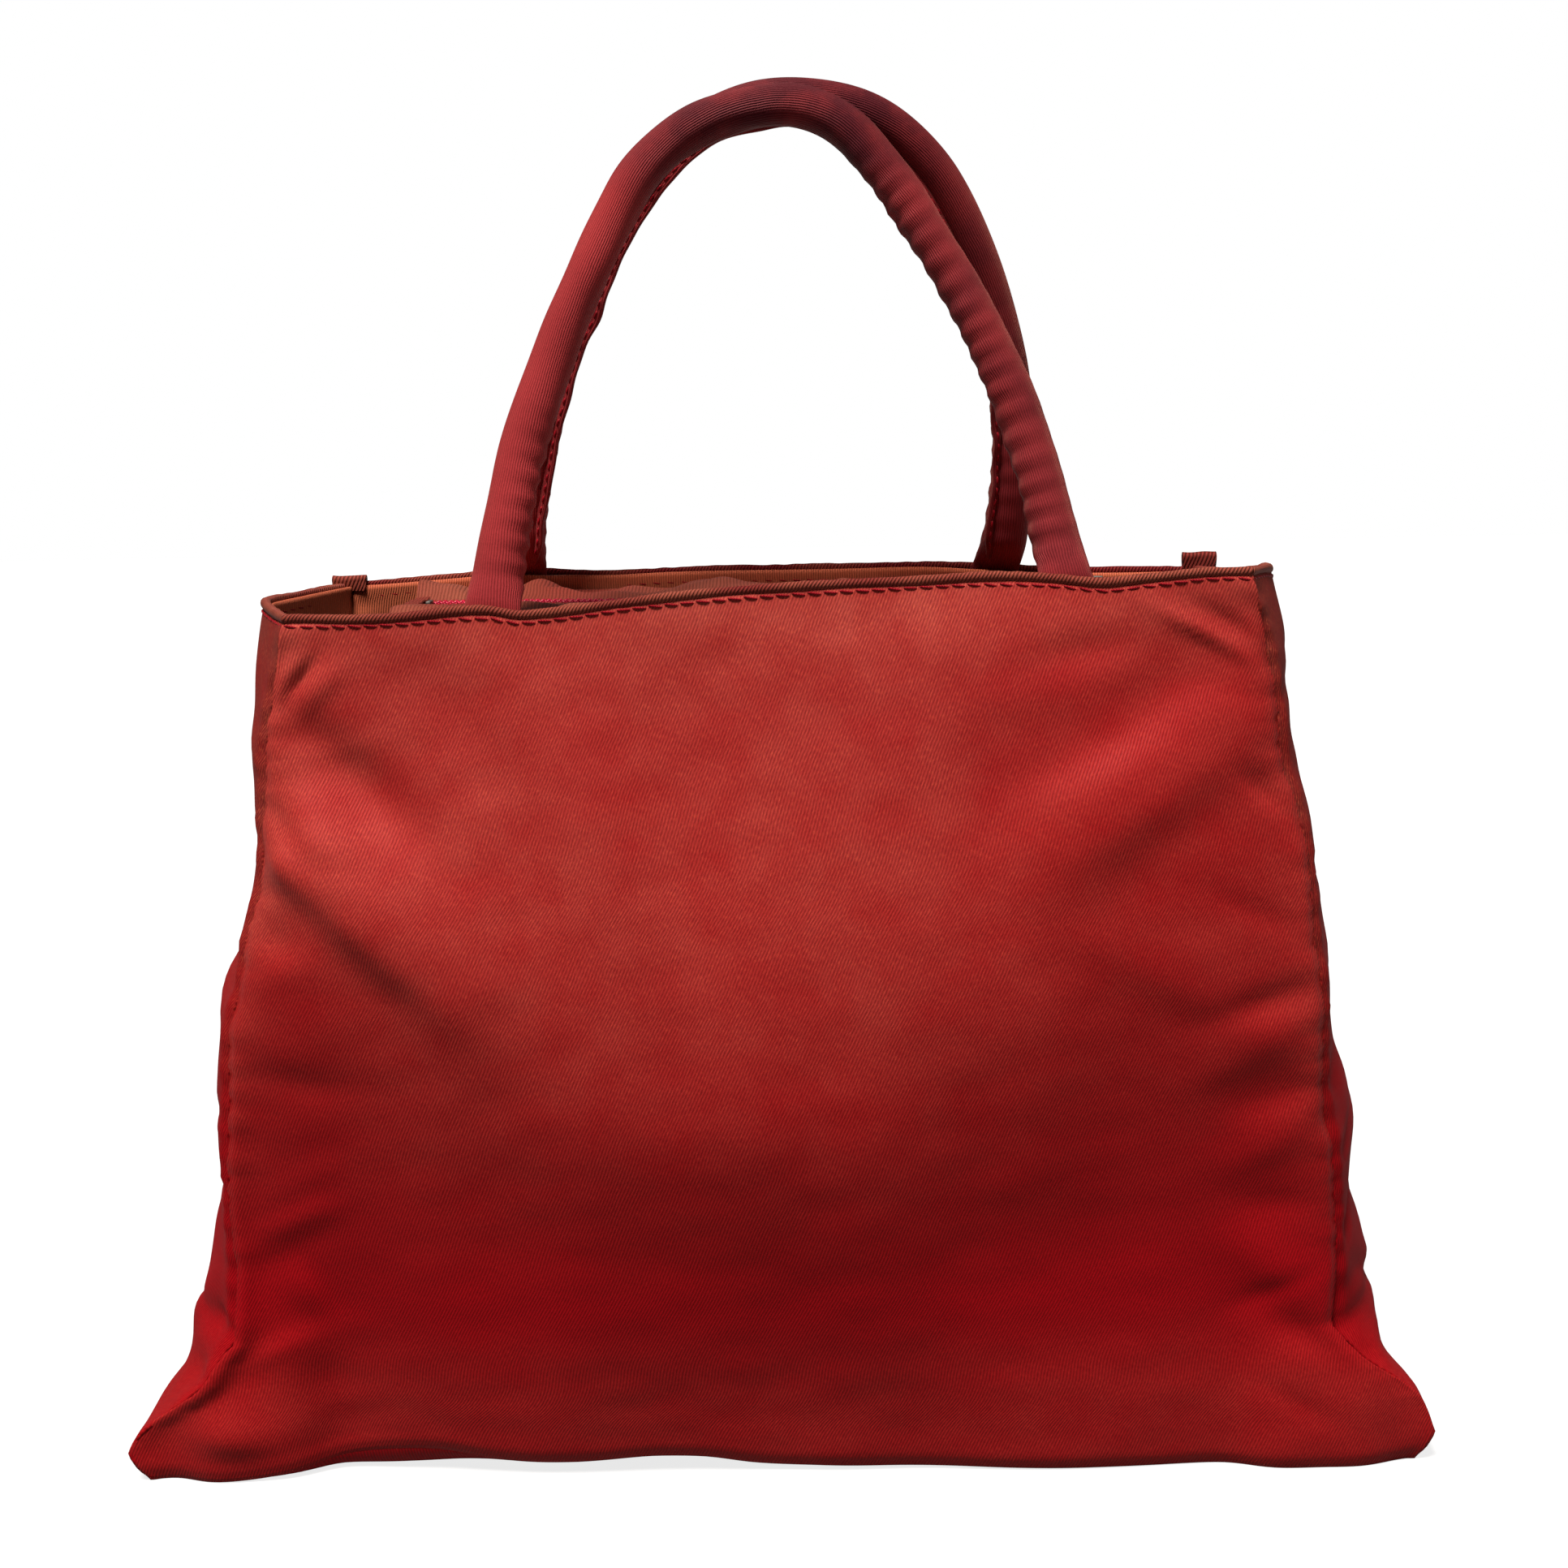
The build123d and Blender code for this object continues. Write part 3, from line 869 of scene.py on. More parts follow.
@dataclass
class Shell:
    """The sewn shell: four walls and the base, all from one surface that sags and creases as a whole."""

    finishes: Finishes
    floor_z: float = 0.0012
    wall_top: float = 0.2653
    mouth_half: float = 0.141
    waist_half: float = 0.170
    mouth_depth_half: float = 0.045
    base_depth_half: float = 0.057
    ear_reach: float = 0.028
    ear_height: float = 0.045
    ear_fullest: float = 0.2
    gusset_bow: float = 0.016
    crease_softness: float = 0.09
    paunch: float = 0.0065
    paunch_z: float = 0.152
    cloth: float = 0.0012
    base_cloth: float = 0.0011
    base_low: float = 0.0004
    seam_groove: float = 0.0022
    pucker: float = 0.0004
    pucker_pitch: float = 0.0095
    long_columns: int = 150
    short_columns: int = 60
    rows: int = 112
    long_flat: Pair = (0.345, 0.272)
    short_flat: Pair = (0.124, 0.272)
    base_flat: Pair = (0.395, 0.115)

    def __post_init__(self) -> None:
        """Draw the seeded small folds along the seams."""
        self.folds = {
            Side.FRONT: list(FRONT_FOLDS) + self.small_folds(3, 165, 15, 0.8),
            Side.REAR: self.wide_folds(11, 160) + self.small_folds(5, 165, 18, 1.0),
            Side.RIGHT: self.small_folds(7, 54, 16, 1.5) + self.gusset_folds(17),
            Side.LEFT: self.small_folds(9, 54, 16, 1.5) + self.gusset_folds(19),
        }

    @staticmethod
    def small_folds(seed: int, edge: float, count: int, strength: float) -> list[Fold]:
        """Short puckers that run in from both seams of a wall.

        Args:
            seed: Seed of the random sizes.
            edge: Half the wall's width at the floor, in millimetres.
            count: How many there are.
            strength: Their typical depth, in millimetres.

        Returns:
            The folds.
        """
        rng = np.random.default_rng(seed)
        made = []
        for k in range(count):
            side = -1 if k % 2 else 1
            height = 20 + 225 * (k + rng.uniform(0, 1)) / count
            reach = rng.uniform(9, 22)
            at = side * (edge * (1 - 0.15 * height / 264) - 0.6 * reach)
            rise = strength * rng.choice((-1.0, -1.0, 0.7)) * rng.uniform(0.6, 1.3)
            made.append(Fold(at, height, side * rng.uniform(-35, 25), reach, rng.uniform(2.6, 5.0), rise))
        return made

    @staticmethod
    def wide_folds(seed: int, edge: float, count: int = 12) -> list[Fold]:
        """Broad soft folds across a long wall.

        Args:
            seed: Seed of the random sizes.
            edge: Half the wall's width, in millimetres.
            count: How many there are.

        Returns:
            The folds.
        """
        rng = np.random.default_rng(seed)
        made = []
        for _ in range(count):
            at = rng.uniform(-0.85, 0.85) * edge
            height = rng.uniform(40, 235)
            rise = rng.uniform(1.5, 3.2) * rng.choice((-1, 1))
            made.append(Fold(at, height, rng.uniform(-60, 60), rng.uniform(20, 45), rng.uniform(8, 14), rise))
        return made

    @staticmethod
    def gusset_folds(seed: int, count: int = 9) -> list[Fold]:
        """The upright crease, the foot crease and the slanting folds where a gusset slackens.

        Args:
            seed: Seed of the random sizes.
            count: How many slanting folds there are.

        Returns:
            The folds.
        """
        rng = np.random.default_rng(seed)
        made = [Fold(0, 150, 88, 70, 7, -3.0), Fold(0, 26, 0, 40, 7, -1.6)]
        for k in range(count):
            rise = rng.uniform(1.0, 2.2) * rng.choice((-1, 1))
            height = 20 + 26 * k + rng.uniform(-6, 6)
            at, angle = rng.uniform(-25, 25), rng.uniform(-50, 50)
            made.append(Fold(at, height, angle, rng.uniform(14, 28), rng.uniform(4, 8), rise))
        return made

    def form(self, z: Array) -> tuple[Array, Array, Array]:
        """Measures of the cut shell, before it sags.

        Args:
            z: Cut heights.

        Returns:
            Half width, half depth and the share of the way up to the rim.
        """
        t = np.clip((z - self.floor_z) / (self.wall_top - self.floor_z), 0, 1)
        s, full = np.maximum(z, 0) / self.ear_height, self.ear_fullest
        fall = np.clip((s - full) / (1 - full), 0, 1)
        ear = np.where(s < full, 1 - 0.12 * (1 - s / full), 1 - fall**1.1)
        half_width = self.waist_half + (self.mouth_half - self.waist_half) * t**2.1 + self.ear_reach * ear
        half_depth = self.base_depth_half + (self.mouth_depth_half - self.base_depth_half) * t
        return half_width, half_depth + self.paunch * bump(z - self.paunch_z, 0.058), t

    @staticmethod
    def seam_shift(x_sign: int, y_sign: int, z: Array) -> Array:
        """How far a side seam wanders outwards from its cut line, given the signs of its x and y."""
        return through(SEAM_SHIFT[x_sign], z) * (1 if y_sign < 0 else 0.6)

    @staticmethod
    def gusset_shift(x_sign: int, z: Array) -> Array:
        """How far the middle of a gusset stands out past its cut bow, given the sign of its x."""
        return through(GUSSET_SHIFT[x_sign], z) - 0.0035 * (1 - ease(z, 0.22, 0.25))

    @staticmethod
    def ridge_rise(u: Array) -> Array:
        """How much higher the belly's ridge lies towards the sides; u runs from -1 at the left to 1."""
        return 0.034 * ease(-u, 0.2, 0.9) + 0.078 * ease(u, 0.05, 0.70)

    @staticmethod
    def edge_lift(curves: dict[Side, Curve], points: Array, half_depth: float) -> Array:
        """How far an edge is lifted, changing smoothly from the front wall's curve to the rear one's.

        Args:
            curves: The front and the rear curve along the bag.
            points: Points of the edge.
            half_depth: Half of the bag's depth there.

        Returns:
            The lifts, in metres.
        """
        share = ease(points[..., 1], -half_depth, half_depth)
        front, rear = (through(curves[side], points[..., 0]) for side in (Side.FRONT, Side.REAR))
        return front * (1 - share) + rear * share

    @staticmethod
    def ear_rest(x: Array) -> Array:
        """How far the front wall's foot rests forward under the ears."""
        left, right = 0.0060 * bump(x + 0.163, 0.020, 4), 0.0048 * bump(x - 0.163, 0.022, 4)
        return left + right + 0.0024 * bump(x - 0.080, 0.030)

    def bowed(self, side: Side, u: Array, z: Array, t: Array, half: Array) -> Array:
        """How far a wall bulges between its two seams.

        Args:
            side: The wall.
            u: Places across it.
            z: Cut heights.
            t: Share of the way up to the rim.
            half: Half of the wall's width at each height.

        Returns:
            The bulge, in metres.
        """
        sign = side.outward
        if side.is_long:
            bow = through(SWELLING, z - self.ridge_rise(u * side.rightward) * np.sin(math.pi * t**1.6))
        else:
            s = np.maximum(z, 0) / self.ear_height
            bow = 0.0005 + self.gusset_bow * (1 - bump(s, 1 / math.sqrt(3))) + self.gusset_shift(sign, z)
            bow = bow - (self.seam_shift(sign, -1, z) + self.seam_shift(sign, 1, z)) / 2
        bow = np.maximum(bow, 0.0004)
        radius = (half * half + bow * bow) / (2 * bow)
        arc = np.sqrt(np.maximum(radius * radius - (u * half) ** 2, 0)) - (radius - bow)
        if side.is_long:
            return arc
        soft = self.crease_softness
        tent = (math.hypot(1, soft) - np.hypot(u, soft)) / (math.hypot(1, soft) - soft)
        crease = (0.95 if side is Side.LEFT else 0.7) * ease(z, 0.205, 0.262)
        return arc * (1 - crease) + bow * tent * crease

    def surface(
        self, side: Side, u: Array, z: Array, depth: float | Array = 0.0, follow: float = 1.0
    ) -> Array:
        """Points of one wall.

        Args:
            side: The wall.
            u: Places across it, from -1 to 1, left to right from outside.
            z: Cut heights, in metres.
            depth: How far the layer lies below the outer face.
            follow: How closely the layer takes the folds, from 0 to 1.

        Returns:
            A grid of points, rows by columns by 3.
        """
        u, z = np.asarray(u, float)[None, :], np.asarray(z, float)[:, None]
        half_width, half_depth, t = self.form(z)
        start, end = (
            (xs * (half_width + self.seam_shift(xs, ys, z) - depth), ys * (half_depth - depth))
            for xs, ys in side.seams
        )
        (xa, ya), (xb, yb) = start, end
        share = (u + 1) / 2
        x, y = xa + (xb - xa) * share, ya + (yb - ya) * share
        half = abs(xb - xa if side.is_long else yb - ya) / 2
        points = np.stack(np.broadcast_arrays(x, y, z), -1)
        points[..., 1 if side.is_long else 0] += side.outward * self.bowed(side, u, z, t, half)
        return self.sag(side, points, (1 - abs(u)) * half, depth, follow)

    def sag(
        self, side: Side, points: Array, from_seam: Array, depth: float | Array, follow: float
    ) -> Array:
        """Bend the cut form as the cloth hangs: folds, seam grooves, lifted edges.

        Args:
            side: The wall.
            points: The cut form's points.
            from_seam: Distance of each point from the nearer seam.
            depth: How far the layer lies below the outer face.
            follow: How closely the layer takes the folds.

        Returns:
            The bent points.
        """
        a = points[..., 0 if side.is_long else 1] * side.rightward
        height = points[..., 2]
        seed = 31 + side.number
        lift = sum(fold.lift(a, height) for fold in self.folds[side])
        lift = lift + 0.0005 * ripples(a, height, seed, 0.085, 0.7)
        lift = lift + 0.00008 * ripples(a, height, seed + 9, 0.016, 1.3)
        calm = (1 - bump(from_seam, 0.006)) * (1 - ease(height, 0.246, 0.262) * 0.85)
        calm = calm * ease(height, -0.020, 0.008)
        beat = height / self.pucker_pitch * math.tau + 3 * ripples(height, 0.0, seed + 20, 0.05)
        pucker = self.pucker * np.sin(beat) * bump(from_seam, 0.008) * ease(height, 0.01, 0.03)
        groove = self.seam_groove * bump(from_seam, 0.0026) * (1 - ease(height, 0.246, 0.260))
        groove = groove * ease(height, 0.025, 0.055) * (depth == 0)
        bisector = np.where(points < 0, -1.0, 1.0) * (1, 1, 0) / math.sqrt(2)
        near = bump(from_seam, 0.0035)[..., None]
        direction = unit(grid_normals(points) * (1 - near) + bisector * near)
        points = points + direction * ((lift * calm + pucker) * follow - groove)[..., None]
        ear = bump(abs(points[..., 0]) - 0.200, 0.014) * (1 - ease(height, 0.0, 0.010)) ** 2
        tuck = 0.0014 * (1 - ease(height, 0.0, 0.006)) ** 2 + 0.0006 * ear
        points = points - direction * tuck[..., None]
        points[..., 2] += self.edge_lift(RIM_LIFT, points, 0.045) * ease(height, 0.15, self.wall_top)
        points[..., 2] += self.edge_lift(FLOOR_LIFT, points, 0.05) * bump(height, 0.022)
        if side is Side.FRONT:
            points[..., 1] -= self.ear_rest(points[..., 0]) * (1 - ease(height, 0.0, 0.085))
        return points

    @staticmethod
    def spaced(count: int, crowd: float = 0.28) -> Array:
        """Places from -1 to 1, closer together towards the ends."""
        s = np.linspace(-1, 1, count + 1)
        return s * (1 + crowd * (1 - s * s))

    def columns(self, side: Side) -> Array:
        """Places of the columns across a wall."""
        return self.spaced(self.long_columns if side.is_long else self.short_columns)

    def fade_and_shading(self, side: Side, points: Array) -> Array:
        """Fading along the rim and a little at the seams and corners, with painted light and shade over the
        walls.

        Args:
            side: The wall.
            points: Its grid.

        Returns:
            Rows by columns, from 0 to 1.
        """
        x, z = points[..., 0], points[..., 2]
        # painted light: higher up, the long walls move towards the satin's lighter brown, which near the rim
        # also stands for real fading; painted shade: higher up, the gussets move towards their darker brown
        tone = 0.46 * ease(z, 0.045, 0.195) if side.is_long else 0.71 * ease(z, 0.10, 0.22)
        if side is Side.FRONT:
            # painted shade: less of the lighter brown over the front's right half, which turns away from the
            # key
            tone = tone * (1 - 0.52 * ease(x, 0.02, 0.10))
            # painted shade: less of it over the front's lower left, in the hollow there
            tone = tone * (1 - 0.6 * ease(-x, 0.10, 0.135) * ease(-z, -0.185, -0.150))
        tone = tone + 0.34 * ease(z, 0.238, 0.268) + 0.14 * (1 - ease(z, 0.02, 0.06))
        from_seam = 0.15 * (1 - abs(self.columns(side)[None, :]))
        return np.clip(tone + 0.14 * bump(from_seam, 0.012) * ease(z, 0.05, 0.15), 0, 1)

    def build(self) -> None:
        """Make the four walls and the base."""
        heights = self.wall_top * (self.spaced(self.rows, 0.2) + 1) / 2
        edges = {}
        for side in Side:
            points = self.surface(side, self.columns(side), heights)
            edges[side] = points[0]
            obj = slab(f"{side.panel}_cloth", points, self.cloth, cloth_uv(points), self.fade_and_shading(side, points))
            satin = self.finishes.satin if side.is_long else self.finishes.side
            flat = self.long_flat if side.is_long else self.short_flat
            sew(obj, satin, "satin", side.panel, flat, Held.STRETCHED, ["base_panel_cloth"])
        self.base(edges)

    def base(self, edges: dict[Side, Array]) -> None:
        """The base: one sheet between the bottom edges of the four walls, lying on the floor.

        Args:
            edges: Bottom edge of each wall, left to right from outside.
        """
        front, rear = edges[Side.FRONT], edges[Side.REAR][::-1]
        left, right = edges[Side.LEFT][::-1], edges[Side.RIGHT]
        s = np.linspace(0, 1, len(front))[None, :, None]
        t = np.linspace(0, 1, len(left))[:, None, None]
        points = (1 - t) * front[None] + t * rear[None] + (1 - s) * left[:, None] + s * right[:, None]
        points -= (1 - t) * ((1 - s) * front[0] + s * front[-1]) + t * ((1 - s) * rear[0] + s * rear[-1])
        from_edge = np.minimum(np.minimum(t, 1 - t) * 0.11, np.minimum(s, 1 - s) * 0.38)[..., 0]
        reach = 0.003 + 0.030 * bump(points[..., 0] + 0.040, 0.045)
        points[..., 2] = self.base_low + (points[..., 2] - self.base_low) * np.exp(-from_edge / reach)
        points = points[::-1]
        down = np.broadcast_to((0.0, 0.0, -1.0), points.shape)
        obj = slab("base_panel_cloth", points, self.base_cloth, points[..., :2], normals=down)
        sew(obj, self.finishes.satin, "satin", "base_panel", self.base_flat, Held.LAID, [])


FEET = {Side.FRONT: (-0.0803, 0.0867), Side.REAR: (-0.0822, 0.0744)}


@dataclass
class InnerLayers:
    """Everything sewn inside the shell: stiffeners, handle ends, facings, linings and the slip pocket."""

    shell: Shell
    finishes: Finishes
    stiffener_cloth: float = 0.0006
    stiffener_depth: float = 0.00135
    anchor_cloth: float = 0.0012
    anchor_depth: float = 0.0022
    anchor_half: float = 0.010
    mouth_half: float = 0.1425
    lining_cloth: float = 0.0008
    lining_depth: float = 0.0038
    facing_low: float = 0.240
    facing_top: float = 0.2662
    pocket_depth: float = 0.0050
    base_cloth: float = 0.0007

    def outside_feet(self, side: Side) -> Pair:
        """Where the handle feet are across a long wall, seen from outside."""
        left, right = FEET[side]
        return (left, right) if side is Side.FRONT else (-right, -left)

    def patch(
        self, name: str, side: Side, reach: Pair, heights: Pair, depth: float, thickness: float,
        cells: tuple[int, int],
    ) -> Object:
        """One layer of cloth parallel to a wall.

        Args:
            name: Piece name.
            side: The wall it lies against.
            reach: Its span across the wall, from -1 to 1.
            heights: Its lowest and highest cut heights.
            depth: How far below the wall's outer face it starts.
            thickness: Its thickness.
            cells: Cells across and up.

        Returns:
            The new object.
        """
        u = np.linspace(*reach, cells[0] + 1)
        z = np.linspace(*heights, cells[1] + 1)
        points = self.shell.surface(side, u, z, depth, 0.9)
        return slab(name, points, thickness, cloth_uv(points))

    def build(self) -> None:
        """Make every inner layer."""
        for side in Side:
            self.lining(side)
            self.facing(side)
            if side.is_long:
                self.stiffener(side)
                self.handle_ends(side)
        self.pocket()
        self.base_lining()

    def lining(self, side: Side) -> None:
        """The lining of one wall.

        Args:
            side: The wall.
        """
        heights = (0.004, self.facing_low + 0.002)
        cells, width = ((70, 50), 0.335) if side.is_long else ((30, 50), 0.112)
        name = f"{side.value}_lining"
        reach = (-0.995, 0.995)
        obj = self.patch(f"{name}_cloth", side, reach, heights, self.lining_depth, self.lining_cloth, cells)
        facing = f"{side.value}_facing_satin"
        sew(obj, self.finishes.lining, "lining_cloth", name, (width, 0.243), Held.HUNG, [facing])

    def facing(self, side: Side) -> None:
        """The satin band inside the mouth, drawn in to the rim and pushed out by the handle feet.

        Args:
            side: The wall.
        """
        columns, width = (120, 0.287) if side.is_long else (44, 0.093)
        u = np.linspace(-0.995, 0.995, columns + 1)
        z = np.linspace(self.facing_low, self.facing_top, 19)
        near_rim = ease(z, 0.252, self.facing_top)[:, None]
        depth = self.lining_depth - 0.0014 * near_rim + 0 * u[None, :]
        if side.is_long:
            for x in self.outside_feet(side):
                depth = depth + (0.0058 * near_rim + 0.0006) * bump(u * 0.141 - x, 0.013)[None, :]
        rough = ripples(u[None, :] * 0.14, z[:, None], 71 + len(side.value), 0.03)
        points = self.shell.surface(side, u, z, depth + 0.0005 * rough * (1 - near_rim), 0.8)
        obj = slab(f"{side.value}_facing_satin", points, self.lining_cloth, cloth_uv(points))
        name, rim = f"{side.value}_facing", f"{side.value}_rim_roll"
        sew(obj, self.finishes.facing, "facing_satin", name, (width, 0.027), Held.HUNG, [rim])

    def stiffener(self, side: Side) -> None:
        """The strip that keeps the mouth's long edge straight.

        Args:
            side: The wall.
        """
        name = f"{side.value}_stiffener"
        reach, heights = (-0.97, 0.97), (0.240, 0.2636)
        obj = self.patch(
            f"{name}_strip", side, reach, heights, self.stiffener_depth, self.stiffener_cloth, (120, 12)
        )
        panel = f"{side.panel}_cloth"
        sew(obj, self.finishes.stiffener, "stiffener_cloth", name, (0.279, 0.024), Held.STRETCHED, [panel])

    def handle_ends(self, side: Side) -> None:
        """The two pressed ends of this side's handle, sewn in below the rim.

        Args:
            side: The wall.
        """
        names = ("left", "right") if side is Side.FRONT else ("right", "left")
        heights, strip = (0.242, 0.2615), f"{side.value}_stiffener_strip"
        for end, middle in zip(names, self.outside_feet(side)):
            reach = tuple((middle + way * self.anchor_half) / self.mouth_half for way in (-1, 1))
            name = f"{side.value}_{end}_handle_anchor"
            obj = self.patch(
                f"{name}_cloth", side, reach, heights, self.anchor_depth, self.anchor_cloth, (12, 12)
            )
            sew(obj, self.finishes.handle, "handle_satin", name, (0.020, 0.020), Held.STRETCHED, [strip])

    def pocket(self) -> None:
        """The slip pocket sewn on the rear lining."""
        obj = self.patch(
            "inner_pocket_cloth", Side.REAR, (-0.375, 0.375), (0.120, 0.200), self.pocket_depth,
            self.lining_cloth, (50, 34),
        )
        flat, lining = (0.120, 0.080), "rear_lining_cloth"
        sew(obj, self.finishes.lining, "lining_cloth", "inner_pocket", flat, Held.STRETCHED, [lining])

    def base_lining(self) -> None:
        """The lining of the floor of the bag."""
        x, y = np.meshgrid(np.linspace(-0.176, 0.176, 81), np.linspace(-0.050, 0.050, 25))
        z = 0.0034 + 0.0006 * ripples(x, y, 5, 0.06) + 0.0012 * ease(abs(y), 0.035, 0.05)
        points = np.stack([x, y, z], -1)
        obj = slab("base_lining_cloth", points, self.base_cloth, points[..., :2])
        flat, base = (0.354, 0.102), "base_panel_cloth"
        sew(obj, self.finishes.lining, "lining_cloth", "base_lining", flat, Held.LAID, [base])


STITCH_PROFILE = ((-0.44, 0.62), (-0.2, 1.0), (0.2, 1.0), (0.44, 0.62))


def stitches(
    name: str, line: Array, out: Array, pitch: float, length: float, thick: float, slant: float = 0.0
) -> Object:
    """A row of sewn stitches along a line.

    Args:
        name: Piece name.
        line: Points of the line.
        out: Outward direction of the cloth at each point.
        pitch: Distance from one stitch to the next.
        length: Length of a stitch.
        thick: Thickness of the thread.
        slant: Turn of each stitch away from the line, in radians.

    Returns:
        One object with every stitch.
    """
    along = lengths_along(line)
    count = int(along[-1] / pitch)
    places = (np.arange(count) + 0.5) * along[-1] / count
    rng = np.random.default_rng(len(name) * 7 + count)

    def at(values: Array, where: Array) -> Array:
        """Values along the line at given distances."""
        return np.stack([np.interp(where, along, values[:, k]) for k in range(3)], -1)

    centre, normal = at(line, places), unit(at(out, places))
    tangent = unit(at(line, places + 0.0008) - at(line, places - 0.0008))
    turn = slant + rng.normal(0, 0.05, (count, 1))
    ahead = tangent * np.cos(turn) + unit(np.cross(normal, tangent)) * np.sin(turn)
    aside = np.cross(normal, ahead)
    sides = 6
    rings = []
    for share, girth in STITCH_PROFILE:
        reach = 0.5 * thick * girth
        middle = centre + ahead * share * length - normal * 0.3 * thick * (abs(share) * 2) ** 3
        for angle in np.arange(sides) * math.tau / sides:
            rings.append(middle + aside * reach * math.cos(angle) + normal * reach * math.sin(angle))
    ends = [centre + ahead * share * length - normal * 0.3 * thick for share in (-0.5, 0.5)]
    each = np.stack(rings + ends, 1)
    size = each.shape[1]
    last = size - 2 - sides
    faces = []
    for k in range(sides):
        after = (k + 1) % sides
        faces += [(r + sides + k, r + sides + after, r + after, r + k) for r in range(0, last, sides)]
        faces += [(size - 2, k, after), (size - 1, last + after, last + k)]
    faces = [tuple(v + size * n for v in face) for n in range(count) for face in faces]
    corner = np.concatenate([each.reshape(-1, 3)[list(face), :2] for face in faces])
    return mesh_object(name, each, faces, corner)


@dataclass
class Rims:
    """The rolled edge round the mouth with its stitching, and the seam ends at the rear corners."""

    shell: Shell
    finishes: Finishes
    profile: tuple[Pair, ...] = (
        (0.1, 0.1), (0.35, 0.4), (0.55, 0.8), (0.6, 1.3), (0.45, 1.9), (0.0, 2.4), (-0.9, 2.6),
        (-1.8, 2.4), (-2.2, 1.9), (-2.3, 1.1), (-2.2, 0.3), (-1.9, -0.4), (-1.2, -0.8), (-0.4, -0.7),
    )
    girth: float = 0.012
    stitch_pitch: float = 0.0046
    stitch_length: float = 0.0041
    stitch_thick: float = 0.00066
    stitch_slant: float = math.radians(-9)
    tab_half: float = 0.0052
    tab_y: float = 0.0434
    tab_bend: float = 0.0007
    tab_cloth: float = 0.0009

    def lines(self) -> dict[Side, tuple[Array, Array]]:
        """Top line of each wall with its outward direction, mitred where two walls meet.

        Returns:
            The points and directions of each wall's line.
        """
        found, outs = {}, {}
        for side in Side:
            u = np.linspace(-1, 1, 281 if side.is_long else 97)
            found[side] = self.shell.surface(side, u, np.array([0.2638, 0.2646, 0.2653]))[-1]
            tangent = unit(np.gradient(found[side], axis=0) * (1, 1, 0))
            outs[side] = np.stack([tangent[:, 1], -tangent[:, 0], 0 * tangent[:, 0]], -1)
        order = list(Side)
        for side, other in zip(order, order[1:] + order[:1]):
            one, two = outs[side][-1], outs[other][0]
            outs[side][-1] = outs[other][0] = (one + two) / (1 + one @ two)
            found[side][-1] = found[other][0] = (found[side][-1] + found[other][0]) / 2
        return {side: (found[side], outs[side]) for side in Side}

    def build(self) -> None:
        """Make the rolled rims, their stitches and the seam ends."""
        for side, (line, out) in self.lines().items():
            self.roll(side, line, out)
            self.sewing(side, line, out)
        self.seam_ends()

    def roll(self, side: Side, line: Array, out: Array) -> None:
        """One rolled strip.

        Args:
            side: The wall it edges.
            line: The wall's top line.
            out: Outward direction at each point.
        """
        along = lengths_along(line)
        seed = 50 + side.number
        calm = ease(along, 0, 0.004) * ease(-along, -along[-1], -along[-1] + 0.004)
        uneven = 0.07 * ripples(along, 0.0, seed, 0.03) + 0.03 * ripples(along, 0.0, seed + 5, 0.006)
        swell = 1 + uneven * calm
        twist = 0.25 * MM * ripples(along, 0.0, seed + 9, 0.05) * calm
        rings = []
        for o, h in reversed(self.profile):
            across = (o + 0.6) * MM * swell - 0.6 * MM
            rise = (h - 0.4) * MM * swell + 0.4 * MM + twist
            rings.append(line + out * across[:, None] + np.array([0, 0, 1.0]) * rise[:, None])
        rings = np.stack(rings, 1)
        around = np.linspace(0, self.girth, rings.shape[1] + 1)
        # painted shade: the rear rim keeps the rim satin's dark red, lightening towards its left end, while
        # the other rims take the lighter brown of fading
        worn_and_shaded = 0.10 + 0.5 * ease(-line[:, 0], 0.06, 0.09) if side is Side.REAR else 0.75 + 0 * along
        patches = ripples(along[:, None], np.arange(rings.shape[1])[None] * MM, seed, 0.03)
        fade_and_shading = np.clip(worn_and_shaded[:, None] + 0.25 * patches, 0, 1)
        obj = tube(f"{side.value}_rim_roll", rings, around, along, fade_and_shading)
        dress(obj, self.finishes.rim, "bag", [f"{side.value}_rim"])

    def sewing(self, side: Side, line: Array, out: Array) -> None:
        """The stitch rows below the roll, outside and inside.

        Args:
            side: The wall they run along.
            line: The wall's top line.
            out: Outward direction at each point.
        """
        face = unit(out)
        outer = line + out * 0.0003 + (0, 0, -0.0010)
        inner = line - out * 0.0029 + (0, 0, -0.0026)
        if side.is_long:
            for foot in FEET[side]:
                inner = inner - out * (0.0052 * bump(line[:, 0] - foot, 0.013))[:, None]
        for label, row, look, share in (("rim", outer, face, 1.0), ("facing", inner[::-1], -face[::-1], 0.8)):
            name, thick = f"{side.value}_{label}_stitches", self.stitch_thick * share
            obj = stitches(name, row, look, self.stitch_pitch, self.stitch_length, thick, self.stitch_slant)
            dress(obj, self.finishes.thread)

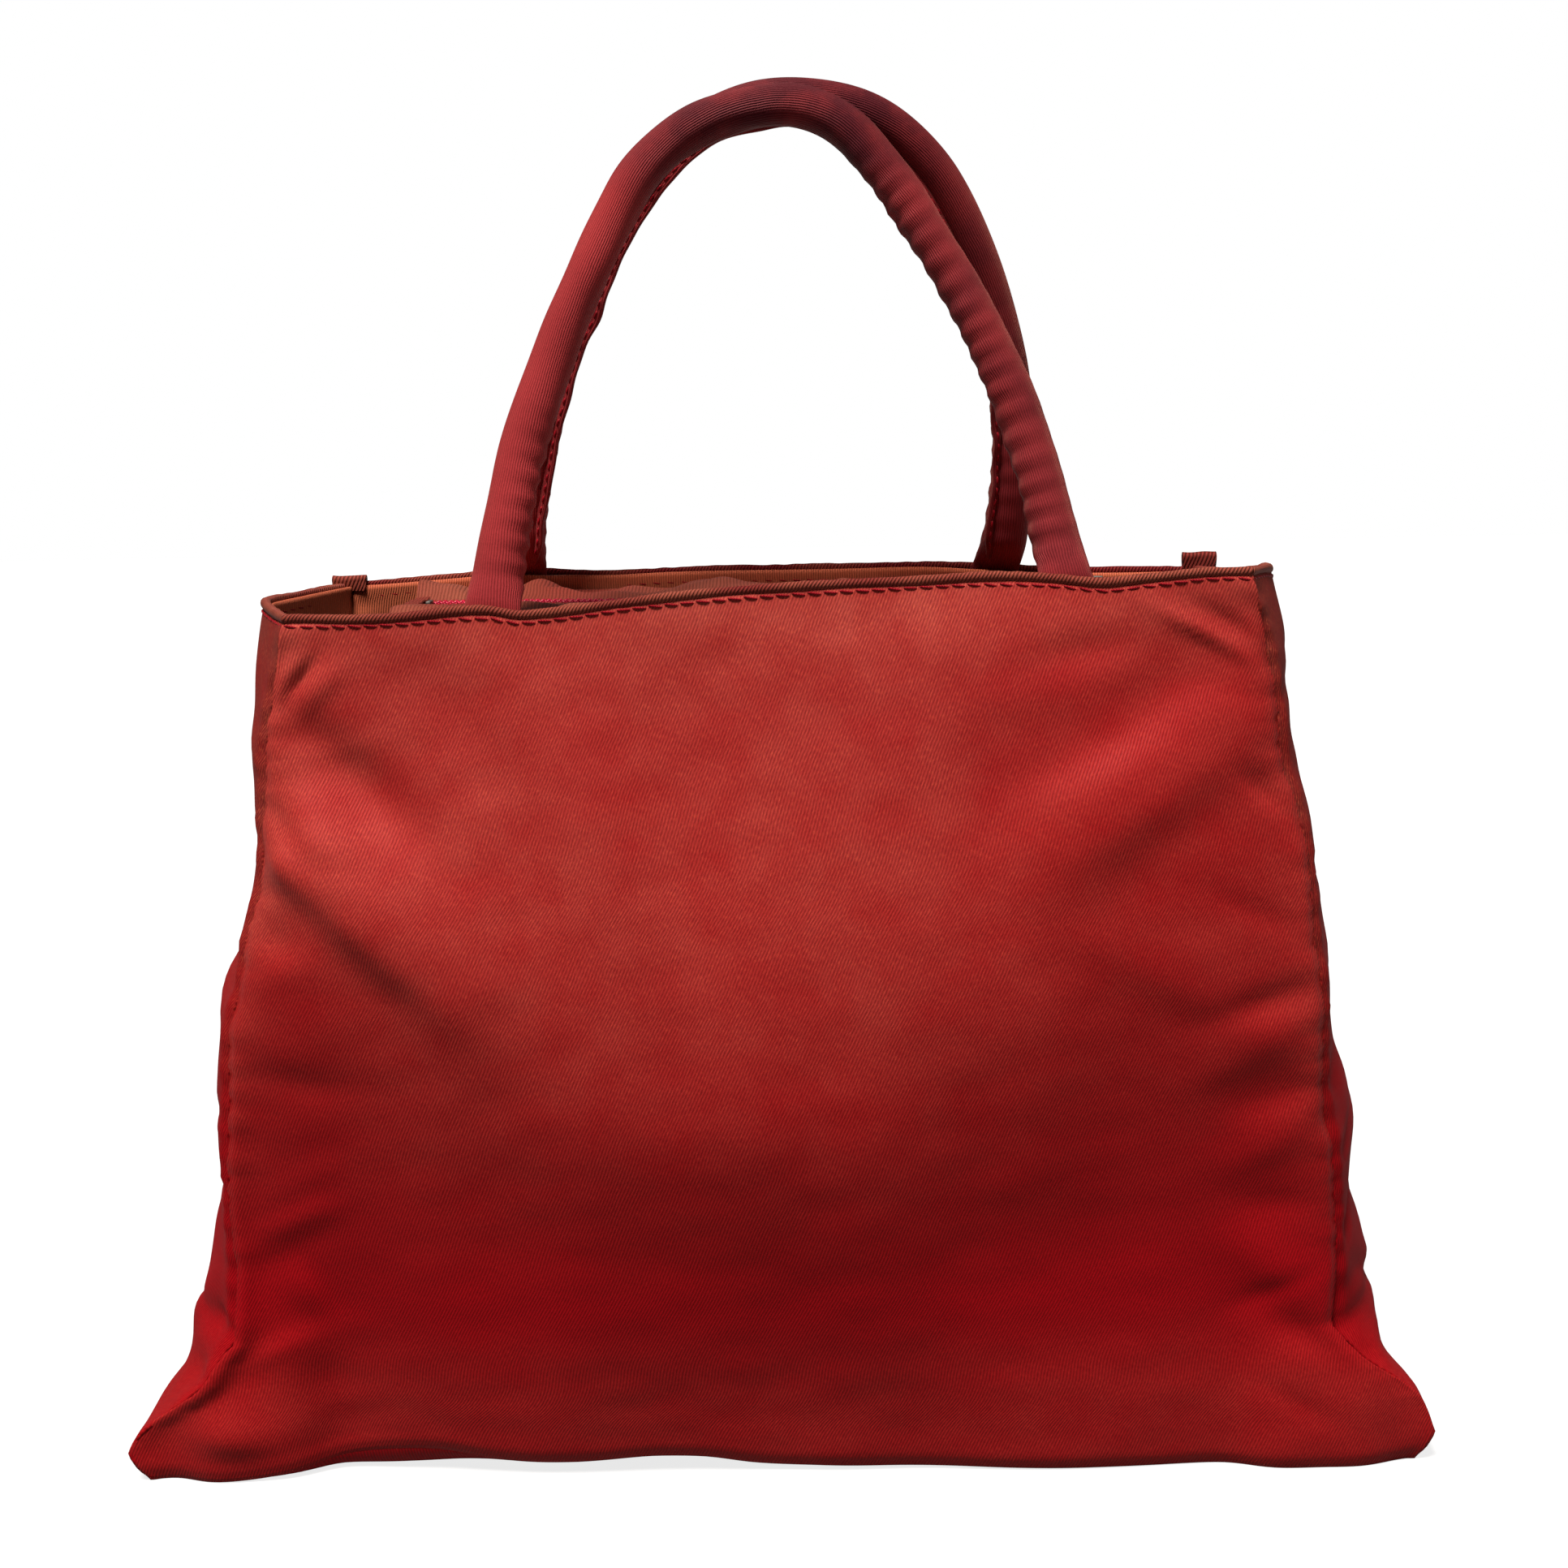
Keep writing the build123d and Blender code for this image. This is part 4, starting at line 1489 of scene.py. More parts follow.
    def seam_ends(self) -> None:
        """Folded seam ends that stand a little above the rear corners."""
        u, v = np.meshgrid(np.linspace(-1, 1, 21), np.linspace(0, 1, 41))
        bend = self.tab_bend
        for name, middle, top, rise, worn_and_shaded in (
            ("left", -0.1392, 0.2681, 0.0036, 0.75), ("right", 0.1418, 0.2711, 0.0050, 0.35),
        ):
            way = v * (2 * rise + math.pi * bend)
            angle = np.clip((way - rise) / bend, 0, math.pi)
            past = np.maximum(way - rise - math.pi * bend, 0)
            rough = 0.00015 * ripples(u * 0.01, v * 0.02, 3 + int(rise * 1000), 0.012)
            x = middle + u * self.tab_half + 0.0004 * np.sin(v * math.pi) * u
            y = self.tab_y - bend * (1 - np.cos(angle)) + rough
            z = top - rise - bend + np.minimum(way, rise) + bend * np.sin(angle) - past + rough
            uv = np.stack([way, u * 0.005], -1)
            obj = slab(f"{name}_seam_end", np.stack([x, y, z], -1), self.tab_cloth, uv, worn_and_shaded)
            flat, rim = (0.0108, 2 * rise + 0.0028), "rear_rim_roll"
            sew(obj, self.finishes.rim, "rim_satin", f"{name}_corner_tab", flat, Held.FOLDED, [rim])


@dataclass
class ZipPanel:
    """The wrinkled cloth panel under the mouth with its zip.

    Each wrinkle is its place along and across the bag, its width both ways, and its height in millimetres.
    """

    finishes: Finishes
    wrinkles: tuple[tuple[float, float, float, float, float], ...] = (
        (-0.104, 0.022, 0.012, 0.010, 3.2), (-0.060, 0.026, 0.010, 0.008, -3.0),
        (-0.046, 0.028, 0.010, 0.008, 2.2), (-0.074, 0.024, 0.008, 0.010, 1.8),
        (-0.020, 0.022, 0.020, 0.007, 1.6), (0.03, 0.026, 0.02, 0.01, -1.5),
        (-0.090, -0.020, 0.020, 0.010, -1.5), (-0.030, -0.022, 0.020, 0.010, 1.5),
        (0.05, -0.020, 0.02, 0.01, 1.2),
    )
    half_length: float = 0.112
    slot: float = 0.0036
    strip_cloth: float = 0.0008
    level: float = 0.2634
    tape_width: float = 0.014
    tape_cloth: float = 0.0006
    clearance: float = 0.0001
    coil_half_length: float = 0.1048
    coil_pitch: float = 0.0018
    coil_inner: float = 0.00045
    coil_outer: float = 0.0029
    coil_base: float = 0.2626
    coil_height: float = 0.0014
    coil_wire: float = 0.00035
    coil_steps: int = 10
    coil_sides: int = 6
    tab_start: float = 0.1075
    tab_length: float = 0.0045
    tab_half: float = 0.012
    tab_top: float = 0.2643

    @staticmethod
    def bulge(x: Array) -> Array:
        """How far the zip itself rises along its length."""
        return -0.0004 * bump(x + 0.045, 0.022) - 0.0003 * bump(x - 0.02, 0.03)

    def bed(self, x: Array, away: Array) -> Array:
        """Height of the panel without its wrinkles."""
        return self.level + self.bulge(x) * (1 - 0.5 * away)

    def height(self, x: Array, y: Array) -> Array:
        """Top of the panel's cloth.

        Args:
            x: Places along the bag.
            y: Places across the bag.

        Returns:
            The heights.
        """
        away = ease(abs(y), 0.0065, 0.017)
        near_wall = 1 - ease(abs(y), 0.030, 0.042)
        rise = 0.0012 + 0.0016 * ripples(x, y, 88, 0.042, 0.6) + 0.0006 * ripples(x, y, 90, 0.014)
        for at, to, width, depth, amount in self.wrinkles:
            rise = rise + amount * MM * bump(x - at, width) * bump(y - to, depth)
        return self.bed(x, away) + rise * away * near_wall

    def build(self) -> None:
        """Make strips, tapes, coils and end tabs."""
        for side in (Side.FRONT, Side.REAR):
            self.strip(side)
            self.tape(side)
            self.coil(side)
        for side in (Side.LEFT, Side.RIGHT):
            self.end_tab(side)

    def strip(self, side: Side) -> None:
        """One cloth strip from the facing to the zip, and the stitches that hold the tape under it.

        Args:
            side: Which side of the zip, front or rear.
        """
        name, sign = side.value, side.outward
        x = np.linspace(-self.half_length, self.half_length, 181)[None, :]
        wall = 0.0402 + 0.0008 * (1 - (x / 0.141) ** 2)
        y = sign * (self.slot + (wall - self.slot) * np.linspace(0, 1, 41)[:, None])
        points = np.stack(np.broadcast_arrays(x, y, self.height(x, y)), -1)
        fade_and_shading = np.clip(0.5 + 0.4 * ripples(x, y, 4, 0.05), 0, 1)
        top, tone = points[::sign], fade_and_shading[::sign]
        obj = slab(f"{name}_zip_strip_cloth", top, self.strip_cloth, top[..., :2], tone)
        flat, facing = (0.224, 0.039), f"{name}_facing_satin"
        sew(obj, self.finishes.strip, "facing_satin", f"{name}_zip_strip", flat, Held.HUNG, [facing])
        row = points[3, 4:-4]
        up = np.broadcast_to((0.0, 0.0, 1.0), row.shape)
        dress(stitches(f"{name}_zip_stitches", row, up, 0.0032, 0.0024, 0.0005), self.finishes.thread)

    def tape(self, side: Side) -> None:
        """One woven zip tape, sewn under the strip.

        Args:
            side: Which side of the zip, front or rear.
        """
        name, sign = side.value, side.outward
        across = sign * (self.coil_inner + self.tape_width * np.linspace(0, 1, 13))
        x, y = np.meshgrid(np.linspace(-self.half_length, self.half_length, 121), across)
        z = np.minimum(self.height(x, y), self.bed(x, ease(abs(y), 0.0065, 0.017)))
        top = np.stack([x, y, z - self.strip_cloth - self.clearance], -1)[::sign]
        obj = slab(f"{name}_zip_tape_cloth", top, self.tape_cloth, top[..., :2])
        flat, strip = (0.224, 0.014), f"{name}_zip_strip_cloth"
        sew(obj, self.finishes.tape, "zip_tape", f"{name}_zip_tape", flat, Held.STRETCHED, [strip])

    def coil(self, side: Side) -> None:
        """One half of the zip's coil: a flattened helix sewn along the tape.

        Args:
            side: Which side of the zip, front or rear.
        """
        name, sign = side.value, side.outward
        turns = int(2 * self.coil_half_length / self.coil_pitch)
        t = np.arange(turns * self.coil_steps + 1) / self.coil_steps
        phase = math.tau * t + (math.pi if sign > 0 else 0)
        wire, reach = self.coil_wire, self.coil_half_length - self.coil_wire
        middle, half = (self.coil_inner + self.coil_outer) / 2, (self.coil_outer - self.coil_inner) / 2 - wire
        x = -reach + 2 * reach * t / turns
        y = sign * (middle - half * np.cos(phase))
        tall = self.coil_height / 2
        z = self.coil_base + self.bulge(x) + tall + (tall - wire) * np.sin(phase)
        path = np.stack([x, y, z], -1)
        ahead = unit(np.gradient(path, axis=0))
        out = unit(np.stack([0 * x, sign * -np.cos(phase), np.sin(phase)], -1))
        out = unit(out - ahead * np.sum(out * ahead, -1, keepdims=True))[:, None]
        aside = np.cross(ahead[:, None], out)
        angles = (np.arange(self.coil_sides) * math.tau / self.coil_sides)[None, :, None]
        rings = path[:, None] + wire * (out * np.cos(angles) + aside * np.sin(angles))
        obj = tube(f"{name}_zip_coil_loops", rings, np.linspace(0, 0.002, self.coil_sides + 1), t * 0.006)
        dress(obj, self.finishes.coil, "bag", [f"{name}_zip_coil"])

    def end_tab(self, side: Side) -> None:
        """The cloth tab over one end of the zip.

        Args:
            side: Which end of the zip, left or right.
        """
        name, sign = side.value, side.outward
        u, v = np.meshgrid(np.linspace(0, 1, 9), np.linspace(-1, 1, 25))
        x, y = self.tab_start + self.tab_length * u, self.tab_half * v
        z = self.tab_top + 0.0003 * ripples(x, y, 12 + sign, 0.01) - 0.0004 * abs(v) ** 3
        points = np.stack([sign * x, sign * y, z], -1)
        obj = slab(f"{name}_zip_end_cloth", points, self.strip_cloth, points[..., :2])
        node, strip = f"{name}_zip_end_tab", "front_zip_strip_cloth"
        flat = (0.0100, 0.024)
        sew(obj, self.finishes.strip, "facing_satin", node, flat, Held.FOLDED, [strip], area=0.000108)


class Workshop:
    """Hard pieces, shaped with Blender's own tools."""

    @staticmethod
    def only(obj: Object) -> None:
        """Select one object and make it active.

        Args:
            obj: The object.
        """
        bpy.ops.object.select_all(action="DESELECT")
        obj.select_set(True)
        bpy.context.view_layer.objects.active = obj

    @staticmethod
    def settled() -> Object:
        """Apply the place and size of the object just added, and return it."""
        bpy.ops.object.transform_apply(location=True, rotation=True, scale=True)
        return bpy.context.active_object

    @classmethod
    def block(cls, low: Sequence[float], high: Sequence[float]) -> Object:
        """A box between two corners.

        Args:
            low: Its lowest corner.
            high: Its highest corner.

        Returns:
            The new object.
        """
        bpy.ops.object.select_all(action="DESELECT")
        centre = [(a + b) / 2 for a, b in zip(low, high)]
        bpy.ops.mesh.primitive_cube_add(size=1.0, location=centre, scale=[b - a for a, b in zip(low, high)])
        return cls.settled()

    @classmethod
    def rod(cls, centre: Sequence[float], radius: float, depth: float, sides: int = 32) -> Object:
        """An upright cylinder.

        Args:
            centre: Its middle.
            radius: Its radius.
            depth: Its height.
            sides: How many faces go round it.

        Returns:
            The new object.
        """
        bpy.ops.object.select_all(action="DESELECT")
        bpy.ops.mesh.primitive_cylinder_add(vertices=sides, radius=radius, depth=depth, location=centre)
        return cls.settled()

    @classmethod
    def cut(cls, obj: Object, tool: Object) -> None:
        """Cut one closed shape out of another.

        Args:
            obj: The object that is cut.
            tool: The shape that is taken out of it, removed afterwards.
        """
        cls.only(obj)
        change = obj.modifiers.new("cut", "BOOLEAN")
        change.operation, change.object, change.solver = "DIFFERENCE", tool, "EXACT"
        bpy.ops.object.modifier_apply(modifier="cut")
        bpy.data.objects.remove(tool, do_unlink=True)

    @classmethod
    def round_upright(cls, obj: Object, width: float, steps: int = 3) -> None:
        """Round the edges of an object that run up and down.

        Args:
            obj: The object.
            width: Radius of the rounding.
            steps: Faces across the rounding.
        """
        cls.only(obj)
        bpy.ops.object.mode_set(mode="EDIT")
        bpy.ops.mesh.select_mode(type="EDGE")
        bpy.ops.mesh.select_all(action="DESELECT")
        bpy.ops.object.mode_set(mode="OBJECT")
        mesh = obj.data
        for edge in mesh.edges:
            a, b = (mesh.vertices[v].co for v in edge.vertices)
            edge.select = abs(a.z - b.z) > 0.9 * (a - b).length
        bpy.ops.object.mode_set(mode="EDIT")
        bpy.ops.mesh.bevel(offset=width, segments=steps, profile=0.5)
        bpy.ops.object.mode_set(mode="OBJECT")

    @classmethod
    def soften(cls, obj: Object, width: float, steps: int = 2) -> None:
        """Round every sharp edge of an object and shade it smooth.

        Args:
            obj: The object.
            width: Width of the rounding.
            steps: Faces across the rounding.
        """
        cls.only(obj)
        change = obj.modifiers.new("soften", "BEVEL")
        change.width, change.segments = width, steps
        change.limit_method, change.angle_limit = "ANGLE", math.radians(35)
        change.use_clamp_overlap = True
        bpy.ops.object.modifier_apply(modifier="soften")
        bpy.ops.object.shade_smooth_by_angle(angle=math.radians(40))

    @classmethod
    def join(cls, name: str, parts: Sequence[Object]) -> Object:
        """Join several shapes into one piece.

        Args:
            name: Piece name.
            parts: The shapes.

        Returns:
            The joined object.
        """
        cls.only(parts[0])
        for part in parts[1:]:
            part.select_set(True)
        if len(parts) > 1:
            bpy.ops.object.join()
        obj = bpy.context.active_object
        bpy.ops.object.mode_set(mode="EDIT")
        bpy.ops.mesh.select_all(action="SELECT")
        bpy.ops.mesh.normals_make_consistent(inside=False)
        bpy.ops.object.mode_set(mode="OBJECT")
        obj.name = obj.data.name = name
        bpy.ops.object.select_all(action="DESELECT")
        return obj


@dataclass
class ZipHardware(Workshop):
    """Slider, pull and stops."""

    finishes: Finishes
    x: float = 0.100
    low: float = 0.2607
    top: float = 0.2653
    plate: float = 0.0010
    half_length: float = 0.0045
    half_width: float = 0.0038
    tail_share: float = 0.84
    flange: float = 0.0006
    flange_low: float = 0.2640
    web: float = 0.0003
    overlap: float = 0.0002
    bail_half: float = 0.0034
    bail_width: float = 0.0008
    wire: float = 0.0008
    opening: float = 0.0021
    hinge_z: float = 0.26635
    hinge_half: float = 0.0005
    pull_length: float = 0.020
    pull_width: float = 0.0028
    pull_plate: float = 0.0010
    window_length: float = 0.0038
    hole_radius: float = 0.001
    stop_x: float = 0.1052
    stop_length: float = 0.0016
    past: float = 0.001

    def build(self) -> None:
        """Make the three metal pieces."""
        metal = self.finishes.metal
        dress(self.slider(), metal, "slider", ["zip_slider"])
        dress(self.pull(), metal, "pull", ["zip_pull"])
        dress(self.stops(), metal, "bag", ["zip_stops"])

    def wing(self, low: float) -> Object:
        """One rounded plate of the slider, narrowed towards its tail.

        Args:
            low: Height of its underside.

        Returns:
            The new object.
        """
        x, half = self.x, self.half_width
        plate = self.block((x - self.half_length, -half, low), (x + self.half_length, half, low + self.plate))
        for vertex in plate.data.vertices:
            if vertex.co.x < x:
                vertex.co.y *= self.tail_share
        self.round_upright(plate, 0.0016, steps=6)
        self.soften(plate, 0.00022)
        return plate

    def slider(self) -> Object:
        """Both plates, the web between them, the side flanges and the bail.

        Returns:
            The joined slider.
        """
        x, over = self.x, self.overlap
        web = self.web
        parts = [self.wing(self.top - self.plate), self.wing(self.low)]
        parts.append(self.block((x - 0.0005, -web, self.low + over), (x + 0.0035, web, self.top - over)))
        for sign in (-1, 1):
            y = sorted((sign * (self.half_width - self.flange), sign * (self.half_width - 0.0001)))
            flange = self.block((x - 0.0023, y[0], self.flange_low), (x + 0.0025, y[1], self.top - 0.0001))
            self.soften(flange, 0.0001)
            parts.append(flange)
        z, high = self.top - over, self.top + self.opening
        bail = self.block(
            (x - self.bail_half, -self.bail_width, z), (x + self.bail_half, self.bail_width, high + self.wire)
        )
        inner = self.bail_half - self.wire
        self.cut(bail, self.block((x - inner, -0.003, z - self.past), (x + inner, 0.003, high)))
        self.soften(bail, 0.00028, 3)
        return self.join("zip_slider_body", parts + [bail])

    def pull(self) -> Object:
        """A flat tapered tab with a window for the bail, a dished middle and a hole near its free end.

        Returns:
            The pull.
        """
        bar, half, past = self.hinge_half, self.pull_width, self.past
        near, window_end = self.x + bar, self.x - bar
        far = near - self.pull_length
        low, high = self.hinge_z - self.pull_plate / 2, self.hinge_z + self.pull_plate / 2
        tab = self.block((far, -half, low), (near, half, high))
        self.round_upright(tab, 0.0017, steps=6)
        side = half - 0.001
        window = self.block(
            (window_end - self.window_length, -side, low - past), (window_end, side, high + past)
        )
        self.round_upright(window, 0.0004)
        self.cut(tab, window)
        self.cut(tab, self.rod((far + 0.003, 0, self.hinge_z), self.hole_radius, 0.004))
        side = half - 0.0012
        dish = self.block((far + 0.0052, -side, high - 0.0002), (window_end - 0.0052, side, high + past))
        self.round_upright(dish, 0.0006, steps=4)
        self.cut(tab, dish)
        self.soften(tab, 0.00014)
        return self.join("zip_pull_tab", [tab])

    def stops(self) -> Object:
        """The two metal stops clamped over the ends of the coil.

        Returns:
            Both stops as one piece.
        """
        parts = []
        for sign in (-1, 1):
            x = sorted((sign * self.stop_x, sign * (self.stop_x + self.stop_length)))
            stop = self.block((x[0], -0.0028, 0.2626), (x[1], 0.0028, 0.2641))
            self.soften(stop, 0.0004, 3)
            parts.append(stop)
        return self.join("zip_end_stops", parts)


@dataclass(frozen=True)
class Pucker:
    """A puckered stretch of a sleeve: its start and end as shares of the length, its angle and its rise."""

    start: float
    end: float
    angle: float
    rise: float
    pitch: float = 0.0070
    spread: float = 1.5
    blur: float = 0.04

    def lift(self, along: Array, angles: Array) -> Array:
        """How far the puckers lift the sleeve.

        Args:
            along: Distances along the sleeve.
            angles: Angles round its section.

        Returns:
            Rings by points, in metres.
        """
        begun, ended = (
            ease(along / along[-1], edge - self.blur, edge + self.blur) for edge in (self.start, self.end)
        )
        beat = along / self.pitch * math.tau + 1.4 * ripples(along, 0.0, 5, 0.06)
        wave = (np.sin(beat) * 0.5 - 0.3) * begun * (1 - ended)
        away = np.abs((angles - self.angle + math.pi) % math.tau - math.pi)
        return self.rise * MM * wave[:, None] * bump(away, self.spread)[None]


@dataclass(frozen=True)
class Course:
    """The run of a sleeve, ring by ring: middle, directions and half sizes of its section, and height."""

    centre: Array
    inside: Array
    aside: Array
    across: Array
    deep: Array
    height: Array

    @property
    def along(self) -> Array:
        """Distance of each ring from the first."""
        return lengths_along(self.centre)

    def rings(self, reach: float, swell: Array | float, angles: Array) -> Array:
        """Rings of points round the centre line.

        Args:
            reach: Radius as a share of the sleeve's.
            swell: Change of radius, rings by points or one value.
            angles: Angles round the section, from the inside of the arch.

        Returns:
            Rings by points by 3.
        """
        c, s = np.cos(angles)[None], np.sin(angles)[None]
        inward = (self.across[:, None] * reach * c + swell * c)[..., None] * self.inside[:, None]
        sideways = (self.deep[:, None] * reach * s + swell * s)[..., None] * self.aside[:, None]
        return self.centre[:, None] + inward + sideways


@dataclass
class Handle:
    """One tubular handle: a padded sleeve round a filler cord, closed by a stitched flange.

    Angles are in degrees. The handle is shaped as the front one, and the rear one is its mirror image.
    """

    finishes: Finishes
    side: Side
    apex: float
    foot_angles: Pair
    foot_lifts: Pair
    puckers: tuple[Pucker, ...]
    flares: Pair = (0.6, 0.4)
    rim: float = 0.268
    foot_y: float = -0.0366
    apex_y: float = -0.0068
    sewn_y: float = -0.0424
    radius: float = 0.0063
    pressed: float = 0.0011
    rise: float = 0.1444
    shoulders: Pair = (60.1, 51.5)
    flange_turn: float = 40.0
    flange_reach: float = 0.0028
    flange_half: float = 0.0008
    low: float = 0.2615
    cord_low: float = 0.288
    cord_share: float = 0.8
    around: int = 30
    step: float = 0.0018

    @property
    def name(self) -> str:
        """The CAD body of this handle, and the start of its pieces' names."""
        return f"{self.side.value}_handle"

    def side_radii(self, span: float, foot: float, shoulder: float) -> Pair:
        """Radii of the two arcs that make up half of the arch.

        Args:
            span: From the foot to the apex, along the bag.
            foot: Slope of the path at the foot.
            shoulder: Slope where the two arcs meet.

        Returns:
            Radius of the side arc and of the top arc.
        """
        f, s = math.radians(foot), math.radians(shoulder)
        side_across, side_up = math.sin(f) - math.sin(s), math.cos(s) - math.cos(f)
        top_across, top_up = math.sin(s), 1 - math.cos(s)
        scale = side_across * top_up - top_across * side_up
        side = (span * top_up - self.rise * top_across) / scale
        top = (side_across * self.rise - side_up * span) / scale
        return side, top

    def arch(self) -> tuple[Array, Array]:
        """Path of the arch in its own leaning plane.

        Returns:
            Points in that plane, and the slope of the path at each.
        """
        (x, right_foot), (left, right) = FEET[self.side], self.foot_angles
        left_bend, right_bend = self.shoulders
        left_side, left_top = self.side_radii(self.apex - x, left, left_bend)
        right_side, right_top = self.side_radii(right_foot - self.apex, right, right_bend)

        def straight(x: float, y: float, slope: float, run: Array) -> Array:
            """A straight piece of the path below a foot."""
            return np.stack([x + run * math.cos(slope), y + run * math.sin(slope), 0 * run + slope], -1)

        y = 0.0
        runs = [straight(x, y, math.radians(left), np.arange(-0.010, -1e-9, self.step))]
        for start, end, radius in (
            (left, left_bend, left_side), (left_bend, 0, left_top),
            (0, -right_bend, right_top), (-right_bend, -right, right_side),
        ):
            s, e = math.radians(start), math.radians(end)
            count = max(int(abs(s - e) * radius / self.step), 2)
            angle = np.linspace(s, e, count, endpoint=False)
            along, up = x + radius * (math.sin(s) - np.sin(angle)), y + radius * (np.cos(angle) - math.cos(s))
            runs.append(np.stack([along, up, angle], -1))
            x, y = x + radius * (math.sin(s) - math.sin(e)), y + radius * (math.cos(e) - math.cos(s))
        runs.append(straight(x, y, math.radians(-right), np.arange(0, 0.0101, self.step)))
        path = np.concatenate(runs)
        path = path[self.rim + path[:, 1] > self.low]
        return path[:, :2], path[:, 2]

    @cached_property
    def course(self) -> Course:
        """The sleeve's run, its feet pressed flat and moved outwards to where they are sewn.

        Returns:
            The run.
        """
        flat, slope = self.arch()
        lean = math.asin((self.apex_y - self.foot_y) / self.rise)
        up = np.array([0, math.sin(lean), math.cos(lean)])
        facing = np.array([0, -math.cos(lean), math.sin(lean)])
        centre = np.stack([flat[:, 0], self.foot_y + flat[:, 1] * up[1], self.rim + flat[:, 1] * up[2]], -1)
        tangent = np.cos(slope)[:, None] * np.array([1.0, 0, 0]) + np.sin(slope)[:, None] * up
        inside = unit(np.cross(tangent, facing))
        at_left = centre[:, 0] < 0
        height = centre[:, 2] - self.rim - np.where(at_left, *self.foot_lifts)
        centre[:, 1] += (self.sewn_y - centre[:, 1]) * (1 - ease(height, -0.004, 0.009))
        wide = 0.22 * (1 - ease(height, 0.03, 0.09)) + 0.20 * (1 - ease(height, -0.004, 0.036))
        foot = 0.04 * (1 - ease(height, 0.0, 0.022)) + 0.28 * (1 - ease(height, -0.008, 0.0))
        across = self.radius * (1 + np.where(at_left, *self.flares) * wide + foot)
        deep = self.radius + (self.pressed - self.radius) * (1 - ease(height, -0.005, 0.010))
        return Course(centre, inside, 0 * inside - facing, across, deep, height)

    def mirrored(self, points: Array) -> Array:
        """Points on this handle's own side of the bag."""
        return points * np.array([1.0, -self.side.outward, 1.0])

    def turned(self, rings: Array) -> Array:
        """Columns in the order that keeps the rings of this handle anticlockwise."""
        return rings[:, :: -self.side.outward]

    def build(self) -> None:
        """Make sleeve, cord, flange and its stitching."""
        self.sleeve()
        self.cord()
        self.flange()

    def angles(self, step: int) -> Array:
        """Angles round the sleeve's section, every one or every few."""
        return np.arange(0, self.around, step) * math.tau / self.around

    def sleeve(self) -> None:
        """The padded cloth tube."""
        course, angles = self.course, self.angles(1)
        along = course.along
        swell = 0.00022 * ripples(along[:, None], angles[None] * 0.007, 23 + self.side.outward, 0.03)
        for pucker in self.puckers:
            swell = swell + pucker.lift(along, angles)
        swell = swell * ease(course.height, -0.002, 0.008)[:, None]
        rings = self.turned(self.mirrored(course.rings(1.0, swell, angles)))
        # painted shade: the near-black colour covers much of the right leg, which turns away from the key,
        # and the top of the arch, with some handling dirt there
        at_left = course.centre[:, 0] < 0.02
        top = ease(course.centre[:, 2], 0.375, 0.411)
        worn_and_shaded = np.where(at_left, 0.08, 0.55) + np.where(at_left, 0.84, 0.37) * top
        fade_and_shading = worn_and_shaded[:, None] + 0.1 * ripples(along[:, None], angles[None] * 0.007, 61, 0.05)
        around = np.linspace(0, math.tau * self.radius, self.around + 1)
        obj = tube(f"{self.name}_sleeve_cloth", rings, around, along, self.turned(np.clip(fade_and_shading, 0, 1)))
        dress(obj, self.finishes.handle, None, [f"{self.name}_sleeve"])
        self.bend(obj)

    def bend(self, obj: Object) -> None:
        """Bake the object's placement into its mesh."""
        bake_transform(obj)

    def cord(self) -> None:
        """The filler cord inside the sleeve, from one bend to the other."""
        course, angles = self.course, self.angles(3)
        keep = course.centre[:, 2] > self.cord_low
        rings = self.turned(self.mirrored(course.rings(self.cord_share, 0.0, angles)[keep]))
        around = np.linspace(0, math.tau * self.radius * self.cord_share, len(angles) + 1)
        obj = tube(f"{self.name}_filler_cord", rings, around, course.along[keep])
        dress(obj, self.finishes.cord, self.name, [f"{self.name}_core"])

    def flange(self) -> None:
        """The seam's flange, with one stitch row on each face."""
        course = self.course
        centre, inside, aside, along = course.centre, course.inside, course.aside, course.along
        c, s = math.cos(math.radians(self.flange_turn)), math.sin(math.radians(self.flange_turn))
        out, face = inside * c + aside * s, aside * c - inside * s
        keep = course.height > 0.001
        root = np.minimum(self.radius, np.hypot(self.radius * c, course.deep * s)) - 0.0008
        sign = self.side.outward
        width = self.radius + self.flange_reach + 0.0005 * ripples(along, 0.0, 77 + sign, 0.022) - root
        width = width * ease(course.height, -0.004, 0.012)
        wave = 0.0004 * ripples(along, 0.0, 33 + sign, 0.016)

        def line(share: float, sway: float, away: float) -> Array:
            """A line along the flange, at shares of its width and its wave and a distance from its middle."""
            return centre + out * (root + width * share)[:, None] + face * (away + wave * sway)[:, None]

        section = ((0.0, -1.0), (0.6, -1.0), (0.93, -0.75), (1.0, 0.0), (0.93, 0.75), (0.6, 1.0), (0.0, 1.0))
        rings = np.stack([line(share, share, self.flange_half * thick) for share, thick in section], 1)[keep]
        rings = self.turned(self.mirrored(rings))
        # painted shade: the flange's right half darker than its left
        fade_and_shading = np.where(rings[..., 0] < 0, 0.2, 0.5)
        obj = tube(f"{self.name}_seam", rings, np.linspace(0, 0.008, len(section) + 1), along[keep], fade_and_shading)
        dress(obj, self.finishes.handle, None)
        self.bend(obj)
        for label, way in (("front", -1), ("back", 1)):
            row = self.mirrored(line(0.62, 0.6, way * (self.flange_half + 0.0001)))[keep][2:-2]
            look = self.mirrored(way * face)[keep][2:-2]
            obj = stitches(f"{self.name}_{label}_stitches", row, look, 0.0036, 0.0027, 0.0008)
            dress(obj, self.finishes.thread, None)
            self.bend(obj)


